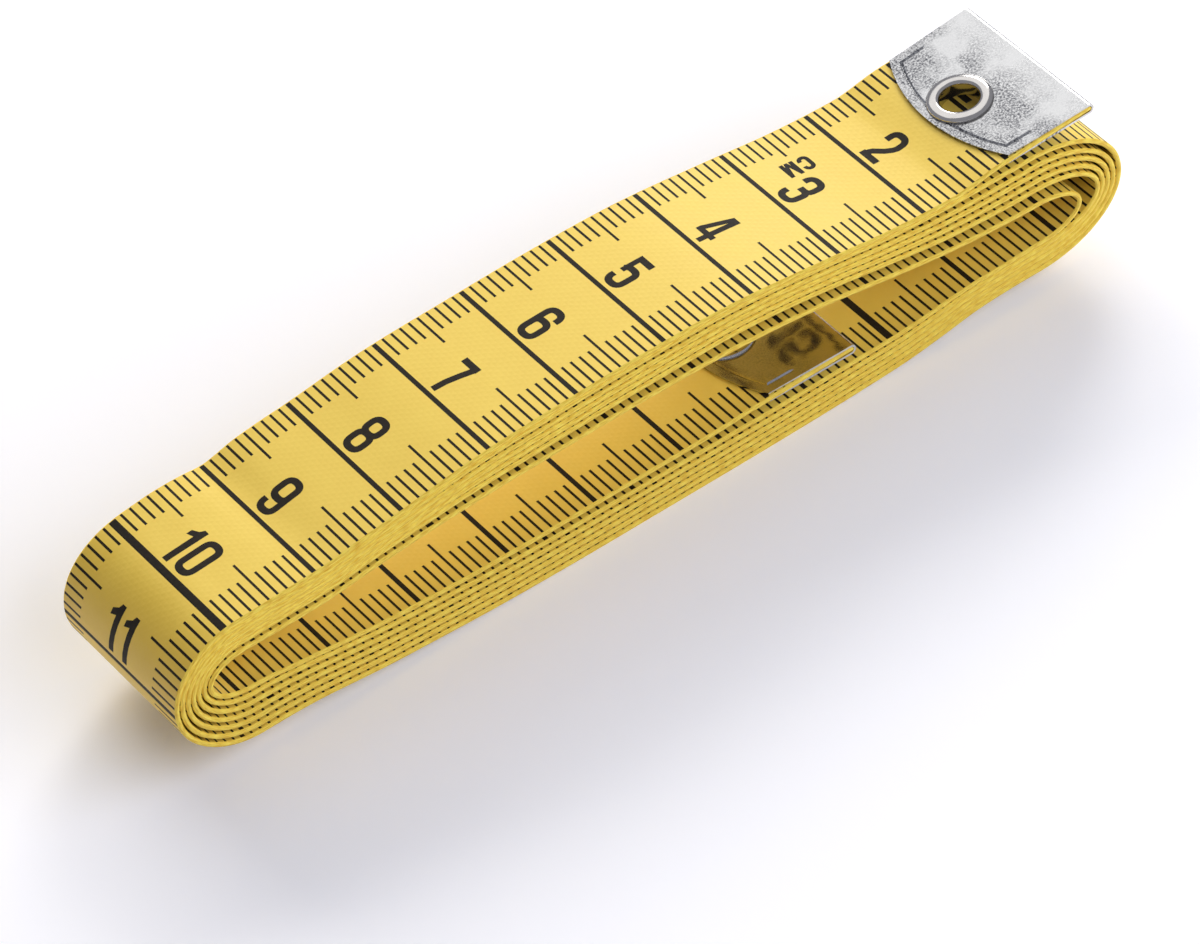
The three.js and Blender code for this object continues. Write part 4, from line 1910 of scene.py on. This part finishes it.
    def build(self, materials: Sequence[bpy.types.Material]) -> list[bpy.types.Object]:
        """Makes the winding and the two free ends, and fixes the winding to its body.

        Args:
            materials: The slots, in the order of Skin.

        Returns:
            The three pieces.
        """
        inside_fold = (self.tip.sheet + self.end_gap - self.route.zero_inset) / self.route.unit
        ends = {
            TipSide.OUTER: (inside_fold, self.outer_cut),
            TipSide.INNER: (self.inner_cut, self.full_length - inside_fold),
        }
        winding = self.build_piece("wound_tape", self.outer_cut, self.inner_cut, materials)
        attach(winding, "winding")
        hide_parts("tape_winding")
        made = [winding]
        for side, (start, end) in ends.items():
            piece = self.build_piece(f"loose_{side.value}_end", start, end, materials)
            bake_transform(piece)
            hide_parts(f"tape_{side.body}")
            made.append(piece)
        return made


# The studio


@dataclass(frozen=True)
class Softbox:
    """A soft lamp that faces the loop.

    Attributes:
        name: Its name.
        place: Its middle, in millimetres.
        size: Its width and height, in millimetres.
        power: Its power in watts.
        colour: The colour of its light.
        mirrored: Whether shiny things show it.
    """

    name: str
    place: tuple[float, float, float]
    size: tuple[float, float]
    power: float
    colour: str
    mirrored: bool = True

    def build(self) -> None:
        """Hangs the lamp."""
        lamp = bpy.data.lights.new(self.name, "AREA")
        lamp.shape = "RECTANGLE"
        lamp.size, lamp.size_y = (side * MM for side in self.size)
        lamp.energy = self.power
        lamp.color = linear(self.colour)[:3]
        holder = bpy.data.objects.new(self.name, lamp)
        holder.location = Vector(self.place) * MM
        holder.rotation_euler = Vector(self.place).to_track_quat("Z", "Y").to_euler()
        holder.visible_glossy = self.mirrored
        bpy.context.scene.collection.objects.link(holder)


@dataclass
class Studio:
    """A pale floor, soft lamps and the camera of the photograph.

    Attributes:
        key: The main lamp, low behind the loop, so that its light also falls through it.
        fill: The lamp in front.
        card: A faint one overhead that the upper tip mirrors.
        gloss: A small one behind the right fold that puts a sheen on the vinyl beside it.
        side: A faint warm one beside the left fold.
        camera_at: The camera's place, in millimetres.
        azimuth: The camera's bearing, in degrees.
        elevation: Its height over the horizon, in degrees.
        roll: How far it is turned about its own axis, in degrees.
        lens: Its focal length, in millimetres.
        sensor: Width of its sensor, in millimetres.
        floor_drop: How far the floor lies below the loop.
        backdrop: How bright the room looks, where 1 is white.
        sky_level: How bright the light from all round is.
    """

    camera_at: tuple[float, float, float] = (-255.6, -460.8, 500.9)
    azimuth: float = -28.84
    elevation: float = 43.66
    roll: float = -9.89
    lens: float = 231.9
    sensor: float = 36.0
    floor_size: float = 6000.0
    floor_drop: float = 0.02
    backdrop: float = 0.38
    key: Softbox = Softbox("key_softbox", (539, 1106, 668), (1500, 560), 16.8, "#fffaf3", mirrored=False)
    fill: Softbox = Softbox("fill_softbox", (580, -1005, 783), (1900, 1000), 21.2, "#e8ecff", mirrored=False)
    card: Softbox = Softbox("top_card", (296, 634, 1213), (1200, 1200), 3.8, "#ffffff")
    gloss: Softbox = Softbox("gloss_softbox", (867, 897, 636), (400, 400), 4.1, "#ffffff")
    side: Softbox = Softbox("side_softbox", (-653, 175, 181), (400, 300), 0.42, "#ffd39c", mirrored=False)
    sky_level: float = 0.03
    sky_colour: str = "#e9edfc"

    def build(self) -> None:
        """Makes the floor, the light and the camera."""
        self.build_floor()
        self.build_sky()
        for softbox in (self.key, self.fill, self.card, self.gloss, self.side):
            softbox.build()
        self.build_camera()
        bpy.context.scene.view_settings.view_transform = "Standard"

    def build_floor(self) -> None:
        """Makes the floor."""
        half = self.floor_size / 2
        corners = np.array([(-half, -half), (half, -half), (half, half), (-half, half)])
        points = np.c_[corners, np.full(4, -self.floor_drop)]
        material = WhiteCard().build()
        make_object("floor", points, [[0, 1, 2, 3]], corners, [material])

    def build_sky(self) -> None:
        """Makes the room: a pale backdrop to look at or to mirror, and a weak light from all round."""
        world = bpy.data.worlds.new("studio")
        bpy.context.scene.world = world
        world.use_nodes = True
        tree = world.node_tree
        level = {"Value": seen(tree), **limits("To", (self.sky_level, self.backdrop))}
        strength = add_node(tree, "MapRange", "Result", level)
        feed(tree, tree.nodes["Background"], {"Color": linear(self.sky_colour), "Strength": strength})

    def build_camera(self) -> None:
        """Sets the camera where the photograph was taken."""
        a, e, r = (math.radians(v) for v in (self.azimuth, self.elevation, self.roll))
        back = Vector((math.sin(a) * math.cos(e), -math.cos(a) * math.cos(e), math.sin(e)))
        level = Vector((math.cos(a), math.sin(a), 0))
        rise = back.cross(level)
        right = level * math.cos(r) + rise * math.sin(r)
        up = rise * math.cos(r) - level * math.sin(r)
        data = bpy.data.cameras.new("camera")
        data.lens, data.sensor_width = self.lens, self.sensor
        data.clip_start, data.clip_end = 0.01, 20.0
        holder = bpy.data.objects.new("camera", data)
        turn = Matrix((right, up, back)).transposed().to_4x4()
        holder.matrix_world = Matrix.Translation(Vector(self.camera_at) * MM) @ turn
        bpy.context.scene.collection.objects.link(holder)
        bpy.context.scene.camera = holder


def report(piece: bpy.types.Object) -> None:
    """Logs a piece and its size."""
    log.info("%s: %d faces, %s", piece.name, len(piece.data.polygons), [round(d / MM, 1) for d in piece.dimensions])


def main() -> None:
    """Builds the studio, the tape and its tips, in that order."""
    logging.basicConfig(level=logging.INFO, format="%(name)s: %(message)s")
    Studio().build()
    outer = Tip(TipSide.OUTER, slope=3.5)
    inner = Tip(TipSide.INNER, slope=1.0)
    route = TapeRoute(outer.place, inner.place, outer.straight)
    log.info("tape: %.1f mm along its middle", route.along[-1])
    skins = [VinylCloth().build(), PrintInk().build(), WovenEdge().build()]
    for piece in PrintedTape(route, outer).build(skins):
        report(piece)
    worn_with_fold_highlight, sheltered = TinPlate(), TinPlate(name="tin_plated_steel_unworn", wear=(0.04, 0.3))
    nickel = NickelPlate().build()
    for tip, tin in ((outer, worn_with_fold_highlight), (inner, sheltered)):
        report(tip.build_clip(tin.build()))
        report(tip.build_eyelet(nickel))


if __name__ == "__main__":
    main()
